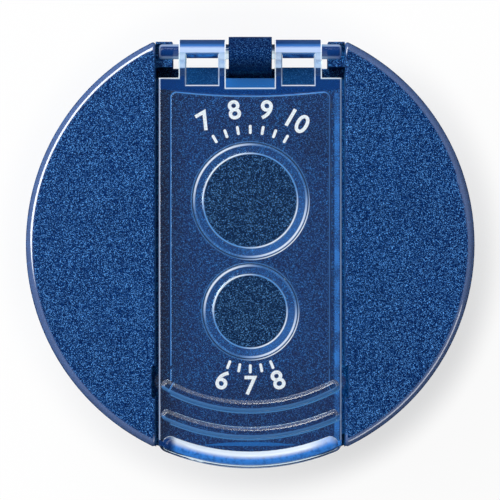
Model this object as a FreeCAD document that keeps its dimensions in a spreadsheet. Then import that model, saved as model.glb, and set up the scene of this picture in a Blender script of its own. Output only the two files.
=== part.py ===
import FreeCAD, Part
import math
import os

import Sketcher

# Tub pencil sharpener: a round drum whose cap holds two sharpening cones under a clear hinged flap.
# Frame: millimetres, +Z up, origin on the drum's axis at its flat underside.
# +Y points to the hinge, +X to the right of someone who faces the lip of the flap.

# Driving sizes: alias, number and what it is.
SIZES = [
    ("drum_diameter", 54, "outside of the drum"),
    ("drum_height", 40, "underside to the top of the raised sides"),
    ("tub_height", 27, "underside to the line where cap and tub part"),
    ("tub_wall", 1.8, "wall of the tub at its mouth"),
    ("tub_floor", 2, "floor of the tub"),
    ("tub_draft", 0.5, "how much narrower the tub is at its underside, on the radius"),
    ("base_round", 1.5, "rounding of the tub's lower edge"),
    ("floor_round", 1.2, "rounding inside the tub where wall and floor meet"),
    ("part_bevel", 0.25, "bevel on both sides of the parting line"),
    ("rear_setback", 5.6, "how far the rear recess cuts in from the drum's outside"),
    ("channel_width", 22.8, "width of the channel in the cap and of the rear recess"),
    ("channel_depth", 3.4, "depth of the channel below the raised sides"),
    ("rim_round", 1.1, "rounding of the cap's outer top edge"),
    ("channel_round", 0.3, "rounding along the top of the channel's walls"),
    ("deck_thickness", 1.8, "thickness of the channel's floor"),
    ("roof_thickness", 1.8, "thickness of the top of the raised sides"),
    ("side_wall", 1.6, "wall between the channel and the hollow of a raised side"),
    ("spigot_depth", 4, "how far the cap's spigot reaches into the tub"),
    ("spigot_wall", 1.3, "wall of the spigot"),
    ("spigot_clearance", 0.1, "gap between spigot and tub, all round"),
    ("hinge_standoff", 1.8, "hinge axis behind the face of the rear recess"),
    ("knuckle_diameter", 3.6, "middle knuckle of the cap"),
    ("knuckle_width", 5.2, "middle knuckle along the hinge axis"),
    ("knuckle_gap", 0.35, "gap between the knuckle and each arm of the flap"),
    ("knuckle_leg_drop", 6.5, "how far the knuckle's leg runs down the rear face"),
    ("barrel_diameter", 2.9, "rolled rear edge of the flap's hinge arms"),
    ("pin_diameter", 1.8, "stub pins of the flap"),
    ("pin_clearance", 0.06, "gap between a pin and its bore or cradle"),
    ("pin_reach", 1.35, "how far a stub pin enters the knuckle, gap included"),
    ("stub_round", 0.4, "rounding of the outer stub pins' ends"),
    ("cradle_width", 2, "open hinge cradle along the hinge axis"),
    ("cradle_depth", 3, "cradle from the rear face backwards"),
    ("cradle_drop", 6.5, "height of the cradle below the hinge axis"),
    ("cradle_lip", 0.15, "cradle's top edge above the hinge axis"),
    ("arm_gap", 0.8, "gap between a hinge arm and its cradle"),
    ("rear_gap_depth", 3, "depth of the clearance notches in the rear edge of the deck"),
    ("rear_gap_length", 1.4, "clearance notches from the rear face forwards"),
    ("flap_gap", 0.4, "gap between the flap and each wall of the channel"),
    ("flap_drop", 0.3, "top of the flap below the raised sides"),
    ("flap_lift", 0.3, "gap between the flap's ribs and the deck"),
    ("panel_thickness", 1.2, "panel of the flap"),
    ("side_rib", 1.35, "rib under each side of the flap"),
    ("shoulder_setback", 3.2, "hinge axis to the flap's rear edge"),
    ("rear_rib_end", 1.5, "rear rib at the flap's sides, front to back"),
    ("rear_rib_bulge", 0.6, "how much wider the rear rib is in the middle"),
    ("notch_depth", 1.2, "notch for the knuckle, from the flap's rear edge forwards"),
    ("window_margin", 0.9, "frame left on both sides of each hinge window"),
    ("window_rear", 0.35, "rear edge of a hinge window in front of the hinge axis"),
    ("window_length", 3.7, "hinge window, front to back"),
    ("window_bevel", 0.15, "bevel round the top of the hinge windows"),
    ("collar_wall", 1.2, "wall of the collars round the pencil holes"),
    ("collar_gap", 0.65, "gap between the two collars"),
    ("rib_corner", 0.8, "rounding between the side ribs and the rear rib"),
    ("rib_edge", 0.25, "rounding along the lower edges of ribs and collars"),
    ("rib_root", 0.25, "rounding where ribs and collars meet the panel"),
    ("flap_corner", 1.2, "rounding of the flap's front corners"),
    ("flap_edge_round", 0.3, "rounding of the flap's top edge"),
    ("lip_gap", 0.05, "how far the lip stands inside the drum's outside"),
    ("lip_diameter", 2.1, "round bar of the lip"),
    ("lip_inset", 0.05, "bar of the lip behind the panel's front edge"),
    ("lip_rise", 0.6, "lip above the panel"),
    ("lip_margin", 1.4, "middle of the lip's ball end to the flap's side"),
    ("skirt_thickness", 1.2, "skirt under the lip"),
    ("skirt_drop", 4.5, "skirt below the panel"),
    ("skirt_gap", 0.2, "gap between the skirt and its seat in the cap"),
    ("skirt_room", 0.4, "gap under the skirt"),
    ("ridge_diameter", 1.4, "grip ridges"),
    ("ridge_rise", 0.62, "grip ridges above the panel"),
    ("ridge_margin", 1, "middle of a ridge's ball end to the flap's side"),
    ("ridge_pitch", 3.2, "lip to ridge and ridge to ridge"),
    ("ridge_centre", 1.7, "middle of the ridges' arcs behind the drum's axis"),
    ("nub_distance", 10.5, "click nubs behind the front of the drum"),
    ("nub_diameter", 2.6, "rounding of the click nubs"),
    ("nub_rise", 0.5, "click nub beyond the flap's side"),
    ("nub_height", 1.6, "click nub from its foot to its top"),
    ("nub_block", 3, "block behind each click nub, front to back"),
    ("nub_notch", 3.8, "notch for a click nub in the channel's wall"),
    ("nub_notch_depth", 0.45, "depth of that notch"),
    ("finger_flat", 1.5, "depth of the finger flat below the skirt"),
    ("finger_drop", 3.2, "height of the finger flat"),
    ("jumbo_hole", 11.5, "wide pencil hole in the deck"),
    ("standard_hole", 9, "narrow pencil hole in the deck"),
    ("jumbo_offset", 5.24, "wide hole behind the drum's axis"),
    ("jumbo_bore", 10.7, "mouth of the wide cone"),
    ("standard_bore", 8.4, "mouth of the narrow cone"),
    ("jumbo_angle", 15, "half angle of the wide cone"),
    ("standard_angle", 11.75, "half angle of the narrow cone"),
    ("guide_depth", 5, "straight mouth above each cone"),
    ("tip_bore", 1.2, "hole at the tip of each cone"),
    ("insert_length", 23.8, "insert from the deck down"),
    ("insert_wall", 1.7, "wall round the cones"),
    ("insert_foot_width", 5.6, "insert at its lower end, across the holes"),
    ("flange_width", 16.4, "flange of the insert, across the holes"),
    ("flange_thickness", 2, "flange of the insert"),
    ("flange_round", 1.5, "corners of the flange"),
    ("seat_start", 4.2, "upper end of the blade seats below the deck"),
    ("bite_depth", 0.3, "how far the blades stand inside the cones"),
    ("throat_width", 2.4, "opening beside the cutting edges, for the shavings"),
    ("seat_clearance", 0.3, "gap round a blade in its seat"),
    ("blade_length", 19, "blade along the cone"),
    ("blade_width", 9, "blade from its cutting edge backwards"),
    ("blade_thickness", 0.6, "blade"),
    ("blade_bevel", 1.3, "ground bevel at the cutting edge"),
    ("blade_edge", 0.06, "thickness left at the cutting edge"),
    ("screw_diameter", 2.2, "screw shank"),
    ("screw_clearance", 0.05, "gap round the screw shank"),
    ("screw_length", 3.6, "screw below its head"),
    ("screw_head_diameter", 4.2, "screw head"),
    ("screw_head_height", 1.1, "screw head"),
    ("screw_head_round", 0.35, "rounding of the screw head"),
    ("slot_width", 0.7, "slot in the screw head"),
    ("slot_depth", 0.55, "slot in the screw head"),
    ("hook_width", 4, "snap hooks under the deck, along the flange"),
    ("hook_thickness", 1.2, "arm of a snap hook"),
    ("hook_barb", 0.7, "barb of a snap hook under the flange"),
    ("hook_barb_height", 0.9, "barb of a snap hook"),
    ("hook_gap", 0.1, "gap between the flange and a hook's arm"),
    ("hook_spacing", 16, "snap hooks of one side, middle to middle"),
    ("overshoot", 1, "how far a cut runs past the face that it opens"),
]

# Places that follow from the driving sizes: alias and formula.
PLACES = [
    ("drum_radius", "drum_diameter / 2"),
    ("tub_base_radius", "drum_radius - tub_draft"),
    ("tub_inner_radius", "drum_radius - tub_wall"),
    ("rear_face", "drum_radius - rear_setback"),
    ("channel_half", "channel_width / 2"),
    ("tub_rear_inner", "rear_face - tub_wall"),
    ("tub_recess_half", "channel_half + tub_wall"),
    ("tub_step_foot", "tub_floor / 2"),
    ("tub_step_radius", "tub_inner_radius + tub_wall / 2"),
    ("tub_step_end", "sqrt(tub_step_radius ^ 2 - tub_recess_half ^ 2)"),
    ("spigot_radius", "tub_inner_radius - spigot_clearance"),
    ("spigot_rear", "tub_rear_inner - spigot_clearance"),
    ("spigot_recess_half", "tub_recess_half + spigot_clearance"),
    ("spigot_recess_end", "sqrt(spigot_radius ^ 2 - spigot_recess_half ^ 2)"),
    ("cap_inner_radius", "spigot_radius - spigot_wall"),
    ("cap_rear_inner", "spigot_rear - spigot_wall"),
    ("cap_recess_half", "spigot_recess_half + spigot_wall"),
    ("cap_recess_end", "sqrt(cap_inner_radius ^ 2 - cap_recess_half ^ 2)"),
    ("spigot_bottom", "tub_height - spigot_depth"),
    ("deck_top", "drum_height - channel_depth"),
    ("deck_under", "deck_top - deck_thickness"),
    ("rear_gap_floor", "deck_top - rear_gap_depth"),
    ("roof_under", "drum_height - roof_thickness"),
    ("hollow_half", "channel_half + side_wall"),
    ("hollow_end", "sqrt(cap_inner_radius ^ 2 - hollow_half ^ 2)"),
    ("flap_half", "channel_half - flap_gap"),
    ("flap_top", "drum_height - flap_drop"),
    ("panel_under", "flap_top - panel_thickness"),
    ("rib_under", "deck_top + flap_lift"),
    ("flap_front_radius", "drum_radius - lip_gap"),
    ("flap_front_corner", "sqrt(flap_front_radius ^ 2 - flap_half ^ 2)"),
    ("hinge_y", "rear_face + hinge_standoff"),
    ("hinge_z", "flap_top - barrel_radius"),
    ("shoulder", "hinge_y - shoulder_setback"),
    ("notch_front", "shoulder - notch_depth"),
    ("rear_rib_side", "shoulder - rear_rib_end"),
    ("rear_rib_radius", "(rib_inner_half ^ 2 + rear_rib_bulge ^ 2) / (2 * rear_rib_bulge)"),
    ("rear_rib_middle", "rear_rib_side - rear_rib_bulge + rear_rib_radius"),
    ("rib_inner_half", "flap_half - side_rib"),
    ("knuckle_radius", "knuckle_diameter / 2"),
    ("knuckle_half", "knuckle_width / 2"),
    ("barrel_radius", "barrel_diameter / 2"),
    ("barrel_front", "hinge_y - sqrt(barrel_radius ^ 2 - (panel_under - hinge_z) ^ 2)"),
    ("pin_bore", "pin_diameter + 2 * pin_clearance"),
    ("notch_half", "knuckle_half + knuckle_gap"),
    ("pin_inner", "notch_half - pin_reach"),
    ("cradle_inner", "channel_half - cradle_width"),
    ("arm_outer", "cradle_inner - arm_gap"),
    ("window_inner", "notch_half + window_margin"),
    ("window_outer", "arm_outer - window_margin"),
    ("window_back", "hinge_y - window_rear"),
    ("window_front", "window_back - window_length"),
    ("skirt_inner_radius", "flap_front_radius - skirt_thickness"),
    ("skirt_inner_corner", "sqrt(skirt_inner_radius ^ 2 - flap_half ^ 2)"),
    ("skirt_bottom", "panel_under - skirt_drop"),
    ("skirt_seat_radius", "skirt_inner_radius - skirt_gap"),
    ("skirt_seat_corner", "sqrt(skirt_seat_radius ^ 2 - channel_half ^ 2)"),
    ("skirt_seat_bottom", "skirt_bottom - skirt_room"),
    ("finger_face", "drum_radius - finger_flat"),
    ("finger_bottom", "skirt_seat_bottom - finger_drop"),
    ("lip_path_radius", "flap_front_radius - lip_inset - lip_diameter / 2"),
    ("lip_z", "flap_top + lip_rise - lip_diameter / 2"),
    ("lip_end", "flap_half - lip_margin"),
    ("ridge_z", "flap_top + ridge_rise - ridge_diameter / 2"),
    ("ridge_end", "flap_half - ridge_margin"),
    ("ridge_front_radius", "lip_path_radius + ridge_centre - ridge_pitch"),
    ("ridge_rear_radius", "ridge_front_radius - ridge_pitch"),
    ("nub_y", "nub_distance - drum_radius"),
    ("nub_x", "flap_half + nub_rise - nub_diameter / 2"),
    ("nub_root", "flap_half - nub_rise / 2"),
    ("nub_half", "sqrt((nub_diameter / 2) ^ 2 - (nub_root - nub_x) ^ 2)"),
    ("nub_bottom", "panel_under + panel_thickness / 2 - nub_height"),
    ("nub_block_half", "nub_block / 2"),
    ("nub_notch_half", "nub_notch / 2"),
    ("side_rib_front", "nub_y + nub_notch_half"),
    ("standard_offset", "(jumbo_hole + standard_hole) / 2 + 2 * collar_wall + collar_gap - jumbo_offset"),
    ("flange_half", "flange_width / 2"),
    ("flange_under", "deck_under - flange_thickness"),
    ("insert_bottom", "deck_under - insert_length"),
    ("insert_top_half", "jumbo_bore / 2 + insert_wall"),
    ("insert_foot_half", "insert_foot_width / 2"),
    ("insert_front", "standard_offset + blade_width + seat_clearance + insert_wall / 2"),
    ("insert_rear", "jumbo_offset + jumbo_bore / 2 + insert_wall"),
    ("guide_bottom", "deck_under - guide_depth"),
    ("seat_top", "deck_under - seat_start"),
    ("seat_foot", "insert_bottom - overshoot"),
    ("tip_radius", "tip_bore / 2"),
    ("screw_bore", "screw_diameter + 2 * screw_clearance"),
    ("screw_radius", "screw_diameter / 2"),
    ("screw_head_radius", "screw_head_diameter / 2"),
    ("screw_tip", "blade_thickness + screw_clearance - screw_length"),
    ("slot_half", "slot_width / 2"),
    ("blade_half_length", "blade_length / 2"),
    ("blade_half_width", "blade_width / 2"),
    ("hook_inner", "flange_half + hook_gap"),
    ("hook_outer", "hook_inner + hook_thickness"),
    ("hook_tip", "flange_half - hook_barb"),
    ("hook_bottom", "flange_under - hook_barb_height"),
    ("hook_row", "hook_spacing / 2"),
    ("hook_half", "hook_width / 2"),
]

# The same places for each of the two cones.
CONE_PLACES = [
    ("CONE_mouth_radius", "CONE_bore / 2"),
    ("CONE_tip_z", "guide_bottom - (CONE_mouth_radius - tip_radius) / tan(CONE_angle)"),
    ("CONE_bite", "bite_depth / cos(CONE_angle)"),
    ("CONE_seat_x", "CONE_mouth_radius - CONE_bite + (seat_top - guide_bottom) * tan(CONE_angle)"),
    ("CONE_seat_foot_x", "CONE_seat_x - (seat_top - seat_foot) * tan(CONE_angle)"),
]

# The two cones: name, and on which side of the drum's axis the hole lies.
CONES = [("standard", -1), ("jumbo", 1)]
SIDES = [(1, "right"), (-1, "left")]
TOLERANCE = 0.01

doc = FreeCAD.newDocument("tub_sharpener")
sheet = doc.addObject("Spreadsheet::Sheet", "Sizes")


def cone_places():
    """The places of both cones, with each cone's name filled in."""
    filled = []
    for cone, side in CONES:
        for alias, formula in CONE_PLACES:
            filled.append((alias.replace("CONE", cone), formula.replace("CONE", cone)))
    return filled


def fill_sheet():
    """Write the driving sizes as plain numbers and, below them, the places as formulas."""
    for row, (alias, amount, meaning) in enumerate(SIZES, 1):
        sheet.set(f"A{row}", meaning)
        sheet.set(f"B{row}", str(amount))
        sheet.setAlias(f"B{row}", alias)
    formulas = list(enumerate(PLACES + cone_places(), len(SIZES) + 1))
    for row, (alias, formula) in formulas:
        sheet.setAlias(f"B{row}", alias)
    for row, (alias, formula) in formulas:
        sheet.set(f"A{row}", formula)
        sheet.set(f"B{row}", "=" + formula)
    doc.recompute()
    aliases = [entry[0] for entry in SIZES + PLACES + cone_places()]
    return {alias: float(sheet.get(alias)) for alias in aliases}


VALUE = fill_sheet()


def number(text):
    """The number that a sum of aliases, such as 'hinge_y - window_rear', comes to."""
    total = 0.0
    sign = 1
    for word in text.split():
        if word in ("+", "-"):
            sign = 1 if word == "+" else -1
        else:
            total += sign * (VALUE[word] if word in VALUE else float(word))
    return total


def tied(text):
    """The same sum as an expression that reads the sheet."""
    return " ".join("Sizes." + word if word in VALUE else word for word in text.split())


def mirrored(text):
    """The same sum with every sign turned."""
    words = text.split()
    if words[0] not in ("+", "-"):
        words.insert(0, "+")
    turned = ["-" if word == "+" else "+" if word == "-" else word for word in words]
    return " ".join(turned[1:] if turned[0] == "+" else turned)


def on_side(side, text):
    """A place on the plus or the minus side of a plane of symmetry."""
    return text if side > 0 else mirrored(text)


def span(side, inner, outer):
    """A stretch from an inner to an outer place, low end first, on one side of the symmetry plane."""
    return (inner, outer) if side > 0 else (mirrored(outer), mirrored(inner))


class Drawing:
    """A sketch on one of a body's origin planes, with every point tied to the sheet."""

    def __init__(self, body, name, plane, height="0"):
        self.body = body
        self.sketch = body.newObject("Sketcher::SketchObject", name)
        support = [feature for feature in body.Origin.OriginFeatures if feature.Role == plane + "_Plane"]
        self.sketch.AttachmentSupport = [(support[0], "")]
        self.sketch.MapMode = "FlatFace"
        self.sketch.setExpression("AttachmentOffset.Base.z", tied(height))

    def tie(self, kind, places, text):
        """A dimension whose amount follows the sheet."""
        index = self.sketch.addConstraint(Sketcher.Constraint(kind, *places, number(text)))
        self.sketch.setExpression(f"Constraints[{index}]", tied(text))

    def pin_point(self, geometry, end, x_text, y_text):
        self.tie("DistanceX", (-1, 1, geometry, end), x_text)
        self.tie("DistanceY", (-1, 1, geometry, end), y_text)

    def circle(self, x_text, y_text, diameter_text):
        middle = FreeCAD.Vector(number(x_text), number(y_text), 0)
        ring = Part.Circle(middle, FreeCAD.Vector(0, 0, 1), number(diameter_text) / 2)
        geometry = self.sketch.addGeometry(ring, False)
        self.tie("Diameter", (geometry,), diameter_text)
        self.pin_point(geometry, 3, x_text, y_text)
        return self

    def axis(self, x_text, y_low, y_high):
        """A construction line parallel to the sketch's upright axis, to turn a profile about."""
        low = FreeCAD.Vector(number(x_text), number(y_low), 0)
        high = FreeCAD.Vector(number(x_text), number(y_high), 0)
        geometry = self.sketch.addGeometry(Part.LineSegment(low, high), True)
        self.pin_point(geometry, 1, x_text, y_low)
        self.pin_point(geometry, 2, x_text, y_high)
        return self

    def rectangle(self, x_ends, y_ends):
        left, right = x_ends
        low, high = y_ends
        return self.outline([(left, low), (right, low), (right, high), (left, high)])

    def outline(self, points, arcs=None):
        """A closed outline; arcs maps a stretch's number to its arc's centre and turning sense."""
        arcs = arcs or {}
        places = [FreeCAD.Vector(number(x), number(y), 0) for x, y in points]
        starts = []
        ends = []
        for index, here in enumerate(places):
            there = places[(index + 1) % len(places)]
            if index in arcs:
                start, end = self.arc(here, there, *arcs[index])
            else:
                line = self.sketch.addGeometry(Part.LineSegment(here, there), False)
                start, end = (line, 1), (line, 2)
            starts.append(start)
            ends.append(end)
        for index, end in enumerate(ends):
            following = starts[(index + 1) % len(starts)]
            self.sketch.addConstraint(Sketcher.Constraint("Coincident", *end, *following))
            self.pin_point(*starts[index], *points[index])
        return self

    def arc(self, here, there, centre, turning):
        """An arc between two pinned points; one pinned coordinate of its centre settles it."""
        middle = FreeCAD.Vector(number(centre[0]), number(centre[1]), 0)
        first, last = (here, there) if turning > 0 else (there, here)
        angles = [math.atan2(end.y - middle.y, end.x - middle.x) for end in (first, last)]
        ring = Part.Circle(middle, FreeCAD.Vector(0, 0, 1), (here - middle).Length)
        geometry = self.sketch.addGeometry(Part.ArcOfCircle(ring, *angles), False)
        chord = there - here
        if abs(chord.x) > abs(chord.y):
            self.tie("DistanceY", (-1, 1, geometry, 3), centre[1])
        else:
            self.tie("DistanceX", (-1, 1, geometry, 3), centre[0])
        return ((geometry, 1), (geometry, 2)) if turning > 0 else ((geometry, 2), (geometry, 1))

    def feature(self, kind, name, **settings):
        """Turn the sketch into a feature; settings given as text are sums of aliases."""
        made = self.body.newObject("PartDesign::" + kind, name)
        made.Profile = self.sketch
        for setting, amount in settings.items():
            if isinstance(amount, str):
                made.setExpression(setting, tied(amount))
            else:
                setattr(made, setting, amount)
        doc.recompute()
        return made

    def pad(self, name, length, **settings):
        return self.feature("Pad", name, Length=length, **settings)

    def pocket(self, name, length, **settings):
        """Cut against the sketch's normal, or along it with Reversed; it has to take something away."""
        before = self.body.Shape.Volume
        made = self.feature("Pocket", name, Length=length, **settings)
        if made.Shape.Volume >= before:
            raise RuntimeError(f"{name} cuts nothing")
        return made

    def turned(self, kind, name, axis="V_Axis"):
        """Revolve the profile about the sketch's upright axis or its construction line."""
        return self.feature(kind, name, ReferenceAxis=(self.sketch, [axis]))


def new_body(name):
    body = doc.addObject("PartDesign::Body", name)
    body.Label = name
    return body


def soften(body, kind, name, size, wanted):
    """Round (Fillet) or bevel (Chamfer) the edges of the body that a test picks."""
    base = body.Tip
    names = [f"Edge{index}" for index, edge in enumerate(base.Shape.Edges, 1) if wanted(edge)]
    if not names:
        raise RuntimeError(f"{name} finds no edge")
    made = body.newObject("PartDesign::" + kind, name)
    made.Base = (base, names)
    made.setExpression("Size" if kind == "Chamfer" else "Radius", tied(size))
    doc.recompute()
    return made


def lies_at(edge, **planes):
    """Whether an edge lies in planes such as z='flap_top', on either side of the symmetry plane."""
    ends = edge.BoundBox
    for axis, place in planes.items():
        low = getattr(ends, axis.upper() + "Min")
        high = getattr(ends, axis.upper() + "Max")
        if high - low > TOLERANCE or abs(abs(low) - abs(number(place))) > TOLERANCE:
            return False
    return True


def is_round(edge, diameter):
    if not isinstance(edge.Curve, Part.Circle):
        return False
    return abs(2 * edge.Curve.Radius - number(diameter)) < TOLERANCE


def drum_inside(body, name, height, half, rear, end):
    """An inside outline of the drum, stepped in round the rear recess."""
    drawing = Drawing(body, name, "XY", height)
    corners = [("- " + half, end), (half, end), (half, rear), ("- " + half, rear)]
    return drawing.outline(corners, {0: (("0", "0"), 1)})


def cut_rear_recess(body, name, height):
    """The upright recess behind the hinge, as wide as the channel."""
    drawing = Drawing(body, name + "_outline", "XY", height)
    drawing.rectangle(("- channel_half", "channel_half"), ("rear_face", "drum_radius + overshoot"))
    drawing.pocket(name, "drum_height + overshoot")


# Tub that catches the shavings

def make_tub():
    """A turned tub, rounded inside, with a step at the rear that walls off the recess behind the hinge."""
    body = new_body("tub")
    profile = [("0", "0"), ("tub_base_radius", "0"), ("drum_radius", "tub_height"), ("0", "tub_height")]
    Drawing(body, "tub_profile", "XZ").outline(profile).turned("Revolution", "tub_blank")
    hollow = Drawing(body, "tub_hollow_profile", "XZ")
    corners = [
        ("0", "tub_floor"),
        ("tub_inner_radius - floor_round", "tub_floor"),
        ("tub_inner_radius", "tub_floor + floor_round"),
        ("tub_inner_radius", "tub_height + overshoot"),
        ("0", "tub_height + overshoot"),
    ]
    rounding_middle = ("tub_inner_radius - floor_round", "tub_floor + floor_round")
    hollow.outline(corners, {1: (rounding_middle, 1)}).turned("Groove", "tub_hollow")
    step = Drawing(body, "tub_step_outline", "XY", "tub_step_foot")
    corners = [
        ("- tub_recess_half", "tub_rear_inner"),
        ("tub_recess_half", "tub_rear_inner"),
        ("tub_recess_half", "tub_step_end"),
        ("- tub_recess_half", "tub_step_end"),
    ]
    step.outline(corners, {2: (("0", "0"), 1)}).pad("tub_step", "tub_height - tub_step_foot")
    cut_rear_recess(body, "tub_rear_recess", "tub_height")
    soften(body, "Fillet", "tub_base_rounding", "base_round", lambda edge: lies_at(edge, z="0"))
    soften(body, "Chamfer", "tub_part_bevel", "part_bevel",
           lambda edge: lies_at(edge, z="tub_height") and is_outside(edge))
    return body


def is_outside(edge):
    """Whether an edge runs along the drum's outside or along the rear recess."""
    round_drum = is_round(edge, "drum_diameter")
    return round_drum or lies_at(edge, y="rear_face") or lies_at(edge, x="channel_half")


# Cap with the channel, the deck and the fixed half of the hinge

def make_head_cap():
    body = new_body("head_cap")
    blank = Drawing(body, "cap_outline", "XY", "tub_height").circle("0", "0", "drum_diameter")
    blank.pad("cap_blank", "drum_height - tub_height")
    cut_rear_recess(body, "cap_rear_recess", "drum_height")
    soften(body, "Chamfer", "cap_part_bevel", "part_bevel", lambda edge: lies_at(edge, z="tub_height"))
    spigot = drum_inside(body, "spigot_outline", "spigot_bottom",
                         "spigot_recess_half", "spigot_rear", "spigot_recess_end")
    spigot.pad("spigot", "spigot_depth + overshoot")
    hollow = drum_inside(body, "cap_hollow_outline", "deck_under",
                         "cap_recess_half", "cap_rear_inner", "cap_recess_end")
    hollow.pocket("cap_hollow", "deck_under - spigot_bottom + overshoot")
    cut_channel(body)
    cut_skirt_seat(body)
    cut_side_hollows(body)
    cut_pencil_holes(body)
    add_knuckle(body)
    add_cradles(body)
    add_hooks(body)
    return body


def cut_channel(body):
    """The channel for the flap, softened along its walls, and the notches for the click nubs."""
    channel = Drawing(body, "channel_outline", "XY", "drum_height")
    channel.rectangle(("- channel_half", "channel_half"),
                      ("- drum_radius - overshoot", "drum_radius + overshoot"))
    channel.pocket("channel", "channel_depth")
    soften(body, "Fillet", "rim_rounding", "rim_round",
           lambda edge: lies_at(edge, z="drum_height") and is_round(edge, "drum_diameter"))
    soften(body, "Fillet", "channel_rounding", "channel_round",
           lambda edge: lies_at(edge, x="channel_half", z="drum_height"))
    notches = Drawing(body, "nub_notch_outline", "XY", "drum_height")
    for side, hand in SIDES:
        notches.rectangle(span(side, "channel_half - overshoot", "channel_half + nub_notch_depth"),
                          ("nub_y - nub_notch_half", "nub_y + nub_notch_half"))
    notches.pocket("nub_notches", "channel_depth")


def cut_skirt_seat(body):
    """The seat for the flap's skirt at the front, and the flat for a fingertip below it."""
    seat = Drawing(body, "skirt_seat_outline", "XY", "deck_top")
    corners = [
        ("- channel_half", "- skirt_seat_corner"),
        ("channel_half", "- skirt_seat_corner"),
        ("channel_half", "- drum_radius - overshoot"),
        ("- channel_half", "- drum_radius - overshoot"),
    ]
    seat.outline(corners, {0: (("0", "0"), 1)})
    seat.pocket("skirt_seat", "deck_top - skirt_seat_bottom")
    flat = Drawing(body, "finger_flat_outline", "YZ")
    flat.outline([
        ("- finger_face", "skirt_seat_bottom"),
        ("- finger_face", "finger_bottom + finger_flat"),
        ("- drum_radius - overshoot", "finger_bottom - overshoot"),
        ("- drum_radius - overshoot", "skirt_seat_bottom"),
    ])
    flat.pocket("finger_flat_cut", "channel_width", Midplane=True)


def cut_side_hollows(body):
    """Room inside both raised sides, so that the cap has an even wall."""
    hollows = Drawing(body, "side_hollow_outline", "XY", "roof_under")
    for side, hand in SIDES:
        chord = on_side(side, "hollow_half")
        corners = [(chord, on_side(-side, "hollow_end")), (chord, on_side(side, "hollow_end"))]
        hollows.outline(corners, {0: (("0", "0"), 1)})
    hollows.pocket("side_hollows", "roof_under - deck_under + overshoot")


def cut_pencil_holes(body):
    holes = Drawing(body, "pencil_hole_outline", "XY", "deck_top")
    for cone, side in CONES:
        holes.circle("0", on_side(side, cone + "_offset"), cone + "_hole")
    holes.pocket("pencil_holes", "deck_thickness + overshoot")


def add_knuckle(body):
    """The middle knuckle on its leg, with clearance notches in the rear edge of the deck."""
    gaps = Drawing(body, "rear_gap_outline", "XY", "deck_top")
    gap_ends = ("rear_face - rear_gap_length", "rear_face + overshoot")
    gaps.rectangle(("- notch_half", "notch_half"), gap_ends)
    for side, hand in SIDES:
        gaps.rectangle(span(side, "arm_outer", "channel_half"), gap_ends)
    gaps.pocket("rear_gaps", "rear_gap_depth")
    leg = Drawing(body, "knuckle_leg_outline", "YZ")
    leg.outline([
        ("rear_face - rear_gap_length", "rear_gap_floor - knuckle_leg_drop"),
        ("rear_face", "rear_gap_floor - knuckle_leg_drop"),
        ("hinge_y + knuckle_radius", "rear_gap_floor"),
        ("hinge_y + knuckle_radius", "hinge_z"),
        ("hinge_y - knuckle_radius", "hinge_z"),
        ("rear_face - rear_gap_length", "rear_gap_floor"),
    ])
    leg.pad("knuckle_leg", "knuckle_width", Midplane=True)
    barrel = Drawing(body, "knuckle_outline", "YZ").circle("hinge_y", "hinge_z", "knuckle_diameter")
    barrel.pad("knuckle", "knuckle_width", Midplane=True)
    bore = Drawing(body, "knuckle_bore_outline", "YZ").circle("hinge_y", "hinge_z", "pin_bore")
    bore.pocket("knuckle_bore", "knuckle_width + overshoot", Midplane=True)


def add_cradles(body):
    """Two open cradles on the walls of the rear recess, each with a round groove for a stub pin."""
    blocks = Drawing(body, "cradle_outline", "XY", "hinge_z + cradle_lip")
    for side, hand in SIDES:
        blocks.rectangle(span(side, "cradle_inner", "channel_half"),
                         ("rear_face", "rear_face + cradle_depth"))
    blocks.pad("cradles", "cradle_drop", Reversed=True)
    groove = Drawing(body, "cradle_groove_outline", "YZ").circle("hinge_y", "hinge_z", "pin_bore")
    groove.pocket("cradle_grooves", "channel_width", Midplane=True)


def add_hooks(body):
    """Snap hooks under the deck that hold the insert by its flange."""
    arms = Drawing(body, "hook_arm_outline", "XY", "hook_bottom")
    barbs = Drawing(body, "hook_barb_outline", "XY", "hook_bottom")
    for side, hand in SIDES:
        for row in ("hook_row", "- hook_row"):
            along = (row + " - hook_half", row + " + hook_half")
            arms.rectangle(span(side, "hook_inner", "hook_outer"), along)
            barbs.rectangle(span(side, "hook_tip", "hook_outer"), along)
    arms.pad("hook_arms", "deck_under - hook_bottom")
    barbs.pad("hook_barbs", "hook_barb_height")


# Clear cover flap with its hinge arms, collars, grip ridges and lip

def make_cover_flap():
    body = new_body("cover_flap")
    add_panel(body)
    add_ribs(body)
    add_hinge_arms(body)
    add_bowed_bar(body, "lip", "0", "lip_path_radius", "lip_end", "lip_z", "lip_diameter")
    for ridge in ("ridge_front", "ridge_rear"):
        add_bowed_bar(body, ridge, "ridge_centre", ridge + "_radius",
                      "ridge_end", "ridge_z", "ridge_diameter")
    add_nubs(body)
    return body


def add_panel(body):
    """The panel and the skirt under its front edge, with softened corners and edges."""
    front = [("- flap_half", "- flap_front_corner"), ("flap_half", "- flap_front_corner")]
    drum_axis = ("0", "0")
    panel = Drawing(body, "panel_outline", "XY", "panel_under")
    panel.outline(front + [("flap_half", "shoulder"), ("- flap_half", "shoulder")], {0: (drum_axis, 1)})
    panel.pad("panel", "panel_thickness")
    skirt = Drawing(body, "skirt_outline", "XY", "skirt_bottom")
    skirt_back = [("flap_half", "- skirt_inner_corner"), ("- flap_half", "- skirt_inner_corner")]
    skirt.outline(front + skirt_back, {0: (drum_axis, 1), 2: (drum_axis, -1)})
    skirt.pad("skirt", "skirt_drop")
    soften(body, "Fillet", "flap_corners", "flap_corner",
           lambda edge: lies_at(edge, x="flap_half", y="flap_front_corner"))
    soften(body, "Fillet", "flap_edges", "flap_edge_round",
           lambda edge: lies_at(edge, x="flap_half", z="flap_top"))


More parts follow.
